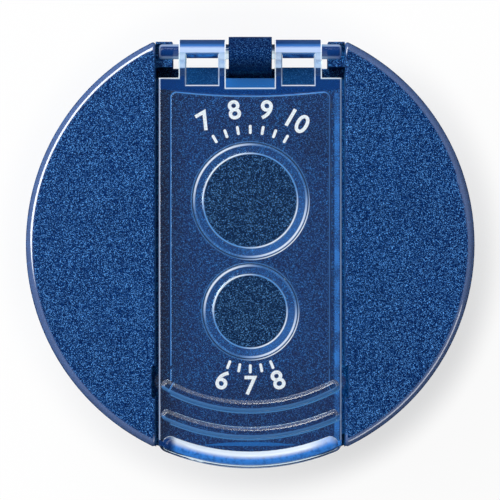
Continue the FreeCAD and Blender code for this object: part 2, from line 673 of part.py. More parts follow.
def add_ribs(body):
    """Side ribs, click blocks, collars round both holes and the bowed rear rib, all under the panel."""
    height = "panel_under - rib_under"
    ribs = Drawing(body, "side_rib_outline", "XY", "rib_under")
    blocks = Drawing(body, "nub_block_outline", "XY", "rib_under")
    for side, hand in SIDES:
        across = span(side, "rib_inner_half", "flap_half")
        ribs.rectangle(across, ("side_rib_front", "rear_rib_side"))
        blocks.rectangle(across, ("nub_y - nub_block_half", "nub_y + nub_block_half"))
    ribs.pad("side_ribs", height)
    blocks.pad("nub_blocks", height)
    rear = Drawing(body, "rear_rib_outline", "XY", "rib_under")
    corners = [
        ("- flap_half", "rear_rib_side"),
        ("- rib_inner_half", "rear_rib_side"),
        ("rib_inner_half", "rear_rib_side"),
        ("flap_half", "rear_rib_side"),
        ("flap_half", "shoulder"),
        ("- flap_half", "shoulder"),
    ]
    rear.outline(corners, {1: (("0", "rear_rib_middle"), 1)})
    rear.pad("rear_rib", height)
    collars = Drawing(body, "collar_outline", "XY", "rib_under")
    for cone, side in CONES:
        middle = on_side(side, cone + "_offset")
        collars.circle("0", middle, cone + "_hole")
        collars.circle("0", middle, cone + "_hole + collar_wall + collar_wall")
    collars.pad("collars", height)
    soften(body, "Fillet", "rib_corners", "rib_corner",
           lambda edge: lies_at(edge, x="rib_inner_half", y="rear_rib_side"))
    soften(body, "Fillet", "rib_edges", "rib_edge",
           lambda edge: lies_at(edge, z="rib_under") and is_rib_side(edge))
    soften(body, "Fillet", "rib_roots", "rib_root",
           lambda edge: lies_at(edge, z="panel_under") and is_rib_side(edge))


def is_rib_side(edge):
    """Whether an edge runs along a collar or along the inner side of a rib."""
    rounds = ["rib_corner + rib_corner", "rear_rib_radius + rear_rib_radius"]
    for cone, side in CONES:
        rounds += [cone + "_hole", cone + "_hole + collar_wall + collar_wall"]
    return lies_at(edge, x="rib_inner_half") or any(is_round(edge, diameter) for diameter in rounds)


def add_hinge_arms(body):
    """The knuckle's notch, two arms with rolled rear edges, their windows and the stub pins."""
    notch = Drawing(body, "notch_outline", "XY", "flap_top")
    notch.rectangle(("- notch_half", "notch_half"), ("notch_front", "shoulder + overshoot"))
    notch.pocket("notch", "panel_thickness")
    hinge_axis = ("hinge_y", "hinge_z")
    profile = [
        ("shoulder", "flap_top"),
        ("hinge_y", "flap_top"),
        ("barrel_front", "panel_under"),
        ("shoulder", "panel_under"),
    ]
    for side, hand in SIDES:
        arm = Drawing(body, hand + "_arm_outline", "YZ", on_side(side, "notch_half"))
        arm.outline(profile, {1: (hinge_axis, -1)})
        arm.pad(hand + "_arm", "arm_outer - notch_half", Reversed=side < 0)
    windows = Drawing(body, "window_outline", "XY", "flap_top")
    for side, hand in SIDES:
        windows.rectangle(span(side, "window_inner", "window_outer"), ("window_front", "window_back"))
    windows.pocket("windows", "channel_depth")
    soften(body, "Chamfer", "window_bevels", "window_bevel",
           lambda edge: lies_at(edge, z="flap_top") and is_window_side(edge))
    for side, hand in SIDES:
        stub = Drawing(body, hand + "_stub_outline", "YZ", on_side(side, "arm_outer"))
        stub.circle(*hinge_axis, "pin_diameter")
        stub.pad(hand + "_stub", "flap_half - arm_outer", Reversed=side < 0)
        pin = Drawing(body, hand + "_pin_outline", "YZ", on_side(side, "pin_inner"))
        pin.circle(*hinge_axis, "pin_diameter")
        pin.pad(hand + "_pin", "pin_reach", Reversed=side < 0)
    soften(body, "Fillet", "stub_rounding", "stub_round",
           lambda edge: lies_at(edge, x="flap_half") and is_round(edge, "pin_diameter"))


def is_window_side(edge):
    sides = [{"x": "window_inner"}, {"x": "window_outer"}, {"y": "window_front"}, {"y": "window_back"}]
    return any(lies_at(edge, **side) for side in sides)


def add_bowed_bar(body, name, centre, radius, end, height, diameter):
    """A round bar bent about an upright axis, and a ball at each of its ends."""
    profile = Drawing(body, name + "_profile", "YZ")
    profile.circle(centre + " - " + radius, height, diameter).axis(centre, "0", height)
    bar = profile.turned("Revolution", name + "_bar", "Axis0")
    bar.Midplane = True
    bar.setExpression("Angle", f"2 * asin(Sizes.{end} / Sizes.{radius})")
    doc.recompute()
    for side, hand in SIDES:
        ball = body.newObject("PartDesign::AdditiveSphere", f"{name}_{hand}_ball")
        ball.setExpression("Radius", f"Sizes.{diameter} / 2")
        ball.setExpression("Placement.Base.x", tied(on_side(side, end)))
        ball.setExpression("Placement.Base.y", f"{tied(centre)} - sqrt(Sizes.{radius} ^ 2 - Sizes.{end} ^ 2)")
        ball.setExpression("Placement.Base.z", tied(height))
        doc.recompute()


def add_nubs(body):
    """A round click nub on each side of the flap, beside its block."""
    nubs = Drawing(body, "nub_outline", "XY", "nub_bottom")
    for side, hand in SIDES:
        root = on_side(side, "nub_root")
        corners = [(root, "nub_y - nub_half"), (root, "nub_y + nub_half")]
        nubs.outline(corners, {0: ((on_side(side, "nub_x"), "nub_y"), side)})
    nubs.pad("nubs", "nub_height")


# Twin-cone insert under the cap

def make_insert():
    body = new_body("sharpener_insert")
    along = ("- insert_front", "insert_rear")
    flange = Drawing(body, "flange_outline", "XY", "flange_under")
    flange.rectangle(("- flange_half", "flange_half"), along)
    flange.pad("flange", "flange_thickness")
    soften(body, "Fillet", "flange_corners", "flange_round", is_flange_corner)
    top = Drawing(body, "wedge_top", "XY", "flange_under")
    top.rectangle(("- insert_top_half", "insert_top_half"), along)
    foot = Drawing(body, "wedge_foot", "XY", "insert_bottom")
    foot.rectangle(("- insert_foot_half", "insert_foot_half"), along)
    top.feature("AdditiveLoft", "wedge", Sections=[foot.sketch])
    for cone, side in CONES:
        cut_cone(body, cone, on_side(side, cone + "_offset"))
    for cone, side in CONES:
        cut_blade_seat(body, cone, on_side(side, cone + "_offset"))
    return body


def is_flange_corner(edge):
    return lies_at(edge, x="flange_half") and edge.BoundBox.YLength < TOLERANCE


def cut_cone(body, cone, middle):
    """The straight mouth, the cone and the small hole at its tip, turned about the hole's axis."""
    mouth = f"{middle} + {cone}_mouth_radius"
    tip = f"{middle} + tip_radius"
    profile = Drawing(body, cone + "_cone_profile", "YZ")
    profile.outline([
        (middle, "deck_under"),
        (middle, "seat_foot"),
        (tip, "seat_foot"),
        (tip, cone + "_tip_z"),
        (mouth, "guide_bottom"),
        (mouth, "deck_under"),
    ])
    profile.axis(middle, "insert_bottom", "deck_under").turned("Groove", cone + "_cone", "Axis0")


def cut_blade_seat(body, cone, middle):
    """A flat along the cone, open to it beside the cutting edge, and the screw's hole."""
    profile = Drawing(body, cone + "_seat_profile", "XZ", mirrored(middle))
    profile.outline([
        (cone + "_seat_x", "seat_top"),
        (cone + "_seat_foot_x", "seat_foot"),
        ("flange_half", "seat_foot"),
        ("flange_half", "seat_top"),
    ])
    seat = profile.pocket(cone + "_seat", "blade_width + seat_clearance", Reversed=True)
    seat.SideType = "Two sides"
    seat.setExpression("Length2", tied("throat_width"))
    hole = body.newObject("PartDesign::SubtractiveCylinder", cone + "_screw_hole")
    hole.setExpression("Radius", "Sizes.screw_bore / 2")
    hole.setExpression("Height", "Sizes.screw_length")
    place_on_seat(hole, cone, middle, "0", flipped=True)
    doc.recompute()


def place_on_seat(item, cone, middle, rise, flipped=False, centred=True):
    """Stand an item on a blade seat, at the blade's middle or at its upper corner.

    Its own Z points out of the seat, or into it if flipped; rise is its height above the seat.
    """
    lean = f"Sizes.{cone}_angle"
    down = "(Sizes.seat_clearance + Sizes.blade_length / 2)" if centred else "Sizes.seat_clearance"
    back = "Sizes.blade_width / 2" if centred else "0"
    height = f"({tied(rise)})"
    item.Placement = FreeCAD.Placement(FreeCAD.Vector(), FreeCAD.Rotation(FreeCAD.Vector(0, 1, 0), 45))
    item.setExpression("Placement.Rotation.Angle", f"{lean} - 90" if flipped else f"{lean} + 90")
    item.setExpression("Placement.Base.x",
                       f"Sizes.{cone}_seat_x - {down} * sin({lean}) + {height} * cos({lean})")
    item.setExpression("Placement.Base.y", f"{tied(middle)} - {back}")
    item.setExpression("Placement.Base.z", f"Sizes.seat_top - {down} * cos({lean}) - {height} * sin({lean})")


# Blades and their screws

def make_blade(cone, middle):
    """A ground blade: X down the cone, Y towards the cutting edge, Z out of the seat."""
    body = new_body("blade_" + cone)
    section = Drawing(body, cone + "_blade_section", "YZ")
    section.outline([
        ("0", "0"),
        ("0", "blade_edge"),
        ("- blade_bevel", "blade_thickness"),
        ("- blade_width", "blade_thickness"),
        ("- blade_width", "0"),
    ])
    section.pad(cone + "_blade_plate", "blade_length")
    hole = Drawing(body, cone + "_blade_hole_outline", "XY", "blade_thickness")
    hole.circle("blade_half_length", "- blade_half_width", "screw_bore")
    hole.pocket(cone + "_blade_hole", "blade_thickness")
    place_on_seat(body, cone, middle, "0", centred=False)
    return body


def make_screw(cone, middle):
    """A slotted round-edged screw, its head on the blade."""
    body = new_body("blade_screw_" + cone)
    profile = Drawing(body, cone + "_screw_profile", "XZ")
    profile.outline([
        ("0", "screw_tip"),
        ("screw_radius", "screw_tip"),
        ("screw_radius", "0"),
        ("screw_head_radius", "0"),
        ("screw_head_radius", "screw_head_height"),
        ("0", "screw_head_height"),
    ])
    profile.turned("Revolution", cone + "_screw_blank")
    soften(body, "Fillet", cone + "_screw_rounding", "screw_head_round",
           lambda edge: lies_at(edge, z="screw_head_height"))
    slot = Drawing(body, cone + "_slot_outline", "XY", "screw_head_height")
    slot.rectangle(("- screw_head_radius", "screw_head_radius"), ("- slot_half", "slot_half"))
    slot.pocket(cone + "_slot", "slot_depth")
    place_on_seat(body, cone, middle, "blade_thickness")
    return body


def write_parts(bodies):
    """Check every object of the document, then write one file per sub-part."""
    doc.recompute()
    failed = [item.Name for item in doc.Objects if "Invalid" in item.State or "Error" in item.State]
    if failed:
        raise RuntimeError(f"failed to build: {failed}")
    for body in bodies:
        if body.Shape.isNull() or not body.Shape.isValid() or len(body.Shape.Solids) != 1:
            raise RuntimeError(f"{body.Label} is not one valid solid")
    os.makedirs("parts", exist_ok=True)
    for body in bodies:
        body.Shape.exportStep(f"parts/{body.Label}.step")


sub_parts = [make_tub(), make_head_cap(), make_cover_flap(), make_insert()]
for cone, side in CONES:
    middle = on_side(side, cone + "_offset")
    sub_parts.append(make_blade(cone, middle))
    sub_parts.append(make_screw(cone, middle))
write_parts(sub_parts)
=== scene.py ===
import math

import bpy
from bpy.props import FloatProperty, FloatVectorProperty, PointerProperty, StringProperty
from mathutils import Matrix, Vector


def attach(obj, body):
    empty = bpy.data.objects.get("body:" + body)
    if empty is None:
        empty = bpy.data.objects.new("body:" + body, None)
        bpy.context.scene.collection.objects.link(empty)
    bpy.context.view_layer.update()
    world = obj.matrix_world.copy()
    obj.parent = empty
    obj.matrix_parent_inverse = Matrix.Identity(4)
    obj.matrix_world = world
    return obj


# Looks of a round tub pencil sharpener with a clear hinged flap, in metres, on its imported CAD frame.

bl_info = {
    "name": "Tub Pencil Sharpener",
    "version": (1, 0, 0),
    "blender": (4, 5, 0),
    "location": "View3D > Sidebar > Sharpener",
    "description": "Finishes the pieces of a tub pencil sharpener and sets up its studio",
    "category": "Object",
}

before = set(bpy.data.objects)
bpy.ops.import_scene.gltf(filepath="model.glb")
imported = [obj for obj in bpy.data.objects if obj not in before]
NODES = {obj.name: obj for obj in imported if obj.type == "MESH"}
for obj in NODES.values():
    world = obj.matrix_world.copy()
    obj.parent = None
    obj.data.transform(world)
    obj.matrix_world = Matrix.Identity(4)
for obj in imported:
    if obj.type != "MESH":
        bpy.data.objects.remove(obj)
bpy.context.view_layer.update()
MM = 0.001

# Drum, the deck of its channel and the flap's panel over it.
DRUM_RADIUS = 27 * MM
DRUM_TOP = 40 * MM
DECK_TOP = 36.6 * MM
PANEL_TOP = 39.7 * MM

# Rounding of the drum's top rim, as distances from its axis, and how far it reaches down.
RIM_START = (DRUM_RADIUS - 1.6 * MM, DRUM_RADIUS - 1.1 * MM)
RIM_LOW = DRUM_TOP - 1.2 * MM

# Knuckle of the cap: its front, its belt of painted shade and how that fades, where grain grows and where
# painted shade darkens the rear.
KNUCKLE_FRONT = 20.3 * MM
KNUCKLE_SHADE_BELT = 22.7 * MM
KNUCKLE_SHADE_BELT_FADE = (0.3 * MM, 0.8 * MM)
KNUCKLE_GRAIN = (22.6 * MM, 23.6 * MM)
KNUCKLE_REAR_SHADE = (22.8 * MM, 23.8 * MM)

# Smooth front of the deck, and the lens of painted light on it: half width, edges and how far they bow.
FRONT_DECK_Y = -17 * MM
LENS_HALF = 5.75 * MM
LENS_REAR = -23.9 * MM
LENS_REAR_BOW = 0.37 * MM
LENS_FRONT = -24.4 * MM
LENS_FRONT_BOW = 0.12 * MM

# Centres of the two pencil holes, and the outside, wall and free room of the collars round them.
JUMBO_HOLE_Y = 5.24 * MM
JUMBO_COLLAR = 6.95 * MM
STANDARD_HOLE_Y = -8.06 * MM
STANDARD_COLLAR = 5.7 * MM
COLLAR_WALL = 1.2 * MM
COLLAR_ROOM = 0.3 * MM

# Painted lines of light on a collar: distance from its outside, and half width.
INNER_LINE = (-1.27 * MM, 0.1 * MM)
OUTER_LINE = (-0.2 * MM, 0.14 * MM)
ROOT_LINE = (0.14 * MM, 0.08 * MM)

# Rear end of the flap: shoulders, knuckle notch, hinge arms, windows and stub pins.
SHOULDER_Y = 20 * MM
NOTCH_Y = 18.8 * MM
NOTCH_HALF = 2.95 * MM
ARM_OUTER = 8.6 * MM
WINDOW_INNER = 3.85 * MM
WINDOW_OUTER = 7.7 * MM
WINDOW_Y = 22.85 * MM
HINGE_Z = 38.25 * MM
PIN_FRONT = 21.8 * MM
CUT_LINE = 0.13 * MM

# Hinge arms from front to rear: stretch of painted pale light, start of the roll, where it turns blue and
# where dark.
PALE_ARM = (21.2 * MM, 23 * MM)
ROLL_START = (22.9 * MM, 23.1 * MM)
ROLL_BLUE = (23.5 * MM, 23.85 * MM)
ROLL_DARK = (23.85 * MM, 24.2 * MM)

# Arc along the front of the rear rib.
REAR_RIB_CENTRE_Y = 95.8 * MM
REAR_RIB_RADIUS = 77.9 * MM

# Painted light over the right rib: where it starts and ends across the flap, and its stretch along it.
RIB_LIGHT_START = (9.95 * MM, 10.2 * MM)
RIB_LIGHT_END = 10.7 * MM
RIB_LIGHT_Y = (-24 * MM, 18.2 * MM)

# Grip ridges: arcs, start of the painted light at their left end, and its stretch in front of each arc.
RIDGE_CENTRE_Y = 1.7 * MM
RIDGE_RADII = (24.35 * MM, 21.15 * MM)
RIDGE_LEFT_END = (-9.9 * MM, -9.5 * MM)
RIDGE_LIGHT_START = (0.1 * MM, 0.35 * MM)
RIDGE_LIGHT_FRONT = (0.65 * MM, 0.9 * MM)
RIDGE_LIGHT_END = (0.86 * MM, 0.98 * MM)

# Lip, as distances from the drum's axis, and the right end where its painted highlight dims and the left
# end painted in shade.
LIP_START = (23.4 * MM, 23.8 * MM)
LIP_FRONT = 25.9 * MM
LIP_CLEAR_EDGE = (DRUM_RADIUS - 0.6 * MM, DRUM_RADIUS - 0.45 * MM)
LIP_DIM_END = (6.5 * MM, 9.8 * MM)
LIP_DARK_END = (-9.7 * MM, -8.7 * MM)

# Flap by height and place: its top faces, what stands above them, its hinge end and its ribs below.
TOP_FACES = PANEL_TOP - 0.1 * MM
RAISED_START = (PANEL_TOP + 0.02 * MM, PANEL_TOP + 0.1 * MM)
HINGE_END_LOW = PANEL_TOP - 0.2 * MM
HINGE_END_Y = (SHOULDER_Y, WINDOW_Y + 0.1 * MM)
RIB_TOP = PANEL_TOP - 0.5 * MM
RIB_ROOT_LOW = DECK_TOP + 1 * MM

# Room for rounding where a mask meets the deck, and sizes of what makes each finish uneven.
DECK_LAP = 0.2 * MM
CLOUD_SIZE = 7 * MM
RIPPLE_SIZE = 2.5 * MM
STREAK_SIZE = 0.5 * MM
BARREL_RIPPLE_SIZE = 0.8 * MM
STAIN_SIZE = 3 * MM
SPECK_SIZE = 0.16 * MM

# Depth of the relief on moulded and printed faces, on the hinge barrel and on ground steel.
FACE_RELIEF = 0.006 * MM
BARREL_RELIEF = 0.01 * MM
STEEL_RELIEF = 0.004 * MM


# Shader writing

class Value:
    """A number inside a shader; arithmetic on it adds Math nodes."""

    def __init__(self, look, socket):
        self.look = look
        self.socket = socket

    def __add__(self, other):
        return self.look.math("ADD", self, other)

    def __radd__(self, other):
        return self.look.math("ADD", other, self)

    def __sub__(self, other):
        return self.look.math("SUBTRACT", self, other)

    def __rsub__(self, other):
        return self.look.math("SUBTRACT", other, self)

    def __mul__(self, other):
        return self.look.math("MULTIPLY", self, other)

    def __rmul__(self, other):
        return self.look.math("MULTIPLY", other, self)

    def __gt__(self, other):
        return self.look.math("GREATER_THAN", self, other)

    def __lt__(self, other):
        return self.look.math("LESS_THAN", self, other)

    def __abs__(self):
        return self.look.math("ABSOLUTE", self)


class Look:
    """A node tree of a material or of the world."""

    def __init__(self, owner):
        owner.use_nodes = True
        self.owner = owner
        self.tree = owner.node_tree
        self.tree.nodes.clear()

    def node(self, kind, settings=None, sockets=None):
        """Add a node: its settings first, then the values or links of its sockets."""
        made = self.tree.nodes.new(kind)
        for setting, amount in (settings or {}).items():
            setattr(made, setting, amount)
        for socket, amount in (sockets or {}).items():
            self.feed(made.inputs[socket], amount)
        return made

    def feed(self, socket, amount):
        """Set a socket to a number or colour, or link it to a value."""
        if isinstance(amount, Value):
            amount = amount.socket
        if isinstance(amount, bpy.types.NodeSocket):
            self.tree.links.new(amount, socket)
        else:
            socket.default_value = amount

    def math(self, operation, first, second=0.0):
        made = self.node("ShaderNodeMath", {"operation": operation}, {0: first, 1: second})
        return Value(self, made.outputs[0])

    def spread(self, value, low, high, start=0.0, end=1.0):
        """A smooth step of a value from low to high, as start to end."""
        settings = {"interpolation_type": "SMOOTHSTEP"}
        sockets = {"Value": value, "From Min": low, "From Max": high, "To Min": start, "To Max": end}
        return Value(self, self.node("ShaderNodeMapRange", settings, sockets).outputs["Result"])

    def mix(self, factor, first, second):
        """A colour between two colours."""
        made = self.node("ShaderNodeMix", {"data_type": "RGBA"}, {0: factor, 6: first, 7: second})
        return made.outputs[2]

    def blend(self, factor, first, second):
        """A shader between the shaders of two nodes."""
        sockets = {0: factor, 1: first.outputs[0], 2: second.outputs[0]}
        return self.node("ShaderNodeMixShader", None, sockets)

    def place(self):
        """Object coordinates, in metres."""
        return self.node("ShaderNodeTexCoord").outputs["Object"]

    def axis(self, vector, letter):
        return Value(self, self.node("ShaderNodeSeparateXYZ", None, {0: vector}).outputs[letter])

    def facing(self):
        """How far the surface looks up, from -1 to 1, in the piece's own frame."""
        return self.axis(self.node("ShaderNodeTexCoord").outputs["Normal"], "Z")

    def noise(self, size, detail=2.0, roughness=0.6):
        """Soft noise with features of one size."""
        sockets = {"Vector": self.place(), "Scale": 1 / size, "Detail": detail, "Roughness": roughness}
        return Value(self, self.node("ShaderNodeTexNoise", None, sockets).outputs["Fac"])

    def cells(self, size):
        """A random number for each of many small cells of one size."""
        made = self.node("ShaderNodeTexVoronoi", None, {"Vector": self.place(), "Scale": 1 / size})
        return self.axis(made.outputs["Color"], "X")

    def reach(self, middle_y):
        """Distance from an upright line in the drum's middle plane."""
        across = self.axis(self.place(), "X")
        along = self.axis(self.place(), "Y") - middle_y
        return self.math("SQRT", across * across + along * along)

    def bump(self, height, depth):
        sockets = {"Height": height, "Strength": 1.0, "Distance": depth}
        return self.node("ShaderNodeBump", None, sockets).outputs["Normal"]

    def end(self, shader):
        """Send a node's shader to the output."""
        is_world = isinstance(self.owner, bpy.types.World)
        kind = "ShaderNodeOutputWorld" if is_world else "ShaderNodeOutputMaterial"
        self.node(kind, None, {"Surface": shader.outputs[0]})
        return self.owner


def new_look(name):
    return Look(bpy.data.materials.new(name))


def opaque(colour):
    return (*colour, 1.0)


def dulled(colour):
    """A darker shade of a colour, for stains and thin ink."""
    return tuple(0.72 * part for part in colour)


def within(value, low, high):
    """1 where a value lies between two bounds."""
    return (value > low) * (value < high)


def finish_nodes(material, *names):
    """Give CAD nodes a material in place of their plain one."""
    for name in names:
        for slot in NODES[name].material_slots:
            slot.material = material


def add_block(size):
    """A cuboid at the origin, selected alone."""
    bpy.ops.object.select_all(action="DESELECT")
    bpy.ops.mesh.primitive_cube_add(size=1)
    block = bpy.context.object
    block.scale = size
    bpy.ops.object.transform_apply(location=False, rotation=False, scale=True)
    return block


def round_edges(piece, wanted, radius, segments):
    """Round those edges of a piece whose two ends pass a test."""
    bpy.ops.object.mode_set(mode="EDIT")
    bpy.ops.mesh.select_mode(type="EDGE")
    bpy.ops.mesh.select_all(action="DESELECT")
    bpy.ops.object.mode_set(mode="OBJECT")
    for edge in piece.data.edges:
        edge.select = wanted(*(piece.data.vertices[end].co for end in edge.vertices))
    bpy.ops.object.mode_set(mode="EDIT")
    bpy.ops.mesh.bevel(offset=radius, segments=segments)
    bpy.ops.object.mode_set(mode="OBJECT")


# Sizes and colours that a user may change

class FlakePlasticSettings(bpy.types.PropertyGroup):
    """The dark blue plastic with metallic flakes."""

    deep: FloatVectorProperty(
        name="Deep colour", description="Plastic between the flakes", subtype="COLOR",
        default=(0.0, 0.004, 0.04), min=0, max=1)
    body: FloatVectorProperty(
        name="Body colour", description="Plastic with its finest flakes", subtype="COLOR",
        default=(0.001, 0.033, 0.168), min=0, max=1)
    glint: FloatVectorProperty(
        name="Glint colour", description="Flakes that catch the light", subtype="COLOR",
        default=(0.12, 0.4, 0.95), min=0, max=1)
    # The deck light is painted light: a brighter blue laid on the deck's step before the knuckle, the
    # lens below the lip and a little on its rear.
    bright: FloatVectorProperty(
        name="Deck light", description="Lit places of the deck at both ends", subtype="COLOR",
        default=(0.02, 0.17, 0.52), min=0, max=1)
    # The rim colour is a painted sheen: a lighter blue laid on the polished rim all round.
    rim: FloatVectorProperty(
        name="Rim colour", description="Polished rounding of the drum's top rim", subtype="COLOR",
        default=(0.16, 0.27, 0.6), min=0, max=1)
    grain: FloatProperty(
        name="Grain", description="Size of the finest flakes", subtype="DISTANCE", unit="LENGTH",
        default=0.078 * MM, min=0.05 * MM, max=1 * MM)
    # The insert colour is made lighter as painted light, for the light that hardly reaches into the
    # cones.
    insert_painted_light_body: FloatVectorProperty(
        name="Insert colour", description="Lighter plastic of the twin-cone insert", subtype="COLOR",
        default=(0.05, 0.17, 0.42), min=0, max=1)


class ClearPlasticSettings(bpy.types.PropertyGroup):
    """The clear blue plastic of the flap."""

    tint: FloatVectorProperty(
        name="Tint", description="Light left after each face of the plastic", subtype="COLOR",
        default=(0.72, 0.87, 1.0), min=0, max=1)
    shade: FloatVectorProperty(
        name="Shade", description="Light left by each face for what lies below", subtype="COLOR",
        default=(0.7, 0.98, 0.98), min=0, max=1)
    haze: FloatProperty(
        name="Haze", description="Roughness of the moulded faces", subtype="FACTOR",
        default=0.012, min=0, max=1)
    # Edge colours are painted light: a pale painted highlight where rounded edges lean to the rear, a
    # dimmer blue light where they lean to the front.
    painted_edge_highlight: FloatVectorProperty(
        name="Rear edges", description="Rounded edges that lean to the rear", subtype="COLOR",
        default=(0.85, 0.9, 1.0), min=0, max=1)
    painted_dim_edge_light: FloatVectorProperty(
        name="Front edges", description="Rounded edges that lean to the front", subtype="COLOR",
        default=(0.1, 0.3, 0.7), min=0, max=1)
    # The lip's rear colour is a painted highlight, also used on the brightest collar lines.
    painted_highlight: FloatVectorProperty(
        name="Lip, rear", description="Rear half of the lip and brightest collar lines", subtype="COLOR",
        default=(0.8, 0.88, 1.0), min=0, max=1)
    lip_front: FloatVectorProperty(
        name="Lip, front", description="Front half of the lip", subtype="COLOR",
        default=(0.045, 0.27, 0.86), min=0, max=1)
    # The collar colour is painted light on the walls, laid brighter towards the front end of the
    # diagonal.
    collar: FloatVectorProperty(
        name="Collars", description="Walls of the collars, lit through the panel", subtype="COLOR",
        default=(0.06, 0.19, 0.56), min=0, max=1)
    # The frost colour is dark as painted shade of the hole below each disc; its grains are the frosting.
    frost_and_hole_shade: FloatVectorProperty(
        name="Frost", description="Frosted plastic inside the collars", subtype="COLOR",
        default=(0.001, 0.016, 0.066), min=0, max=1)
    spark: FloatVectorProperty(
        name="Spark", description="Grains of the frost and the front of the ridge light", subtype="COLOR",
        default=(0.12, 0.34, 0.68), min=0, max=1)
    frost_grain: FloatProperty(
        name="Frost grain", description="Size of the grains of the frost", subtype="DISTANCE",
        unit="LENGTH", default=0.07 * MM, min=0.05 * MM, max=1 * MM)
    roll: FloatVectorProperty(
        name="Roll", description="Thick plastic beside the rolled edge and in the lip", subtype="COLOR",
        default=(0.02, 0.14, 0.5), min=0, max=1)
    # Roll edge is the deep blue of the thickest plastic, and also painted shade on the lower edges of the
    # ribs and at the lip's left end.
    roll_edge_and_shade: FloatVectorProperty(
        name="Roll edge", description="Thickest plastic at the rolled rear edge", subtype="COLOR",
        default=(0.002, 0.03, 0.15), min=0, max=1)
    # The arm colour is painted light: pale on the hinge arms and the front of their roll, and painted
    # highlight outlines on the stub pins.
    painted_arm_light: FloatVectorProperty(
        name="Hinge arms", description="Thin plastic of the arms, outlines of the pins", subtype="COLOR",
        default=(0.5, 0.64, 0.95), min=0, max=1)
    # The rib colour is painted light along the roots of the ribs below the panel.
    rib: FloatVectorProperty(
        name="Ribs", description="Roots of the ribs below the panel", subtype="COLOR",
        default=(0.08, 0.25, 0.66), min=0, max=1)
    rear_rib: FloatVectorProperty(
        name="Rear rib", description="Thick plastic over the rear rib and in the pins", subtype="COLOR",
        default=(0.0, 0.036, 0.19), min=0, max=1)
    ridge: FloatVectorProperty(
        name="Ridge light", description="Light that gathers in front of the grip ridges", subtype="COLOR",
        default=(0.07, 0.2, 0.58), min=0, max=1)
    edge_light: FloatVectorProperty(
        name="Edge light", description="Light that gathers over the right rib", subtype="COLOR",
        default=(0.055, 0.28, 0.85), min=0, max=1)


class BarrelSettings(bpy.types.PropertyGroup):
    """The round front of the flap's hinge barrel."""

    deep: FloatVectorProperty(
        name="Deep colour", description="Thickest plastic", subtype="COLOR",
        default=(0.002, 0.03, 0.15), min=0, max=1)
    light: FloatVectorProperty(
        name="Light colour", description="Plastic that leads light", subtype="COLOR",
        default=(0.02, 0.14, 0.5), min=0, max=1)
    depth: FloatProperty(
        name="Depth", description="How far it stands in front of the barrel", subtype="DISTANCE",
        unit="LENGTH", default=0.38 * MM, min=0.2 * MM, max=1 * MM)
    height: FloatProperty(
        name="Height", description="Height of the round front", subtype="DISTANCE", unit="LENGTH",
        default=1.6 * MM, min=0.5 * MM, max=2.4 * MM)


class SteelSettings(bpy.types.PropertyGroup):
    """Blades and screws."""

    blade: FloatVectorProperty(
        name="Blade colour", description="Ground blade steel", subtype="COLOR",
        default=(0.6, 0.61, 0.63), min=0, max=1)
    screw: FloatVectorProperty(
        name="Screw colour", description="Zinc-coated screw steel", subtype="COLOR",
        default=(0.52, 0.53, 0.55), min=0, max=1)


class MarkSettings(bpy.types.PropertyGroup):
    """The printed gauge numbers and ticks on the flap."""

    ink: FloatVectorProperty(
        name="Ink", description="Colour of the print", subtype="COLOR",
        default=(0.78, 0.86, 0.93), min=0, max=1)
    jumbo_numbers: StringProperty(
        name="Wide hole", description="Pencil sizes in millimetres behind the wide hole",
        default="7 8 9 10")
    standard_numbers: StringProperty(
        name="Narrow hole", description="Pencil sizes in millimetres in front of the narrow hole",
        default="6 7 8")
    height: FloatProperty(
        name="Height", description="Height of a number", subtype="DISTANCE", unit="LENGTH",
        default=2.3 * MM, min=1 * MM, max=4 * MM)
    thickness: FloatProperty(
        name="Thickness", description="Thickness of the print", subtype="DISTANCE", unit="LENGTH",
        default=0.03 * MM, min=0.01 * MM, max=0.2 * MM)


class StageSettings(bpy.types.PropertyGroup):
    """Floor, lamps and camera."""

    floor: FloatVectorProperty(
        name="Floor", description="Colour of the floor", subtype="COLOR",
        default=(0.95, 0.95, 0.95), min=0, max=1)
    mirrored: FloatVectorProperty(
        name="Mirrored floor", description="Colour of the floor as gloss shows it", subtype="COLOR",
        default=(0.1, 0.1, 0.1), min=0, max=1)
    whiteness: FloatProperty(
        name="Whiteness", description="Share of plain white in the floor as it is seen", subtype="FACTOR",
        default=0.94, min=0, max=1)
    halo: FloatProperty(
        name="Halo", description="Share of plain white in the floor close to the drum", subtype="FACTOR",
        default=0.61, min=0, max=1)
    camera_height: FloatProperty(
        name="Camera height", description="Camera above the top of the drum", subtype="DISTANCE",
        unit="LENGTH", default=0.4, min=0.1, max=2)
    view_width: FloatProperty(
        name="View width", description="Width of the view at the top of the drum", subtype="DISTANCE",
        unit="LENGTH", default=60 * MM, min=20 * MM, max=1)
    key: FloatProperty(
        name="Key lamp", description="Soft lamp behind the hinge, to the left", unit="POWER",
        default=3.4, min=0, max=100)
    fill: FloatProperty(
        name="Fill lamp", description="Low lamp in front, to the right", unit="POWER",
        default=0.45, min=0, max=100)


SETTINGS = {
    "sharpener_flake": FlakePlasticSettings,
    "sharpener_clear": ClearPlasticSettings,
    "sharpener_barrel": BarrelSettings,
    "sharpener_steel": SteelSettings,
    "sharpener_marks": MarkSettings,
    "sharpener_stage": StageSettings,
}


# Plastic with metallic flakes: cap, tub and insert

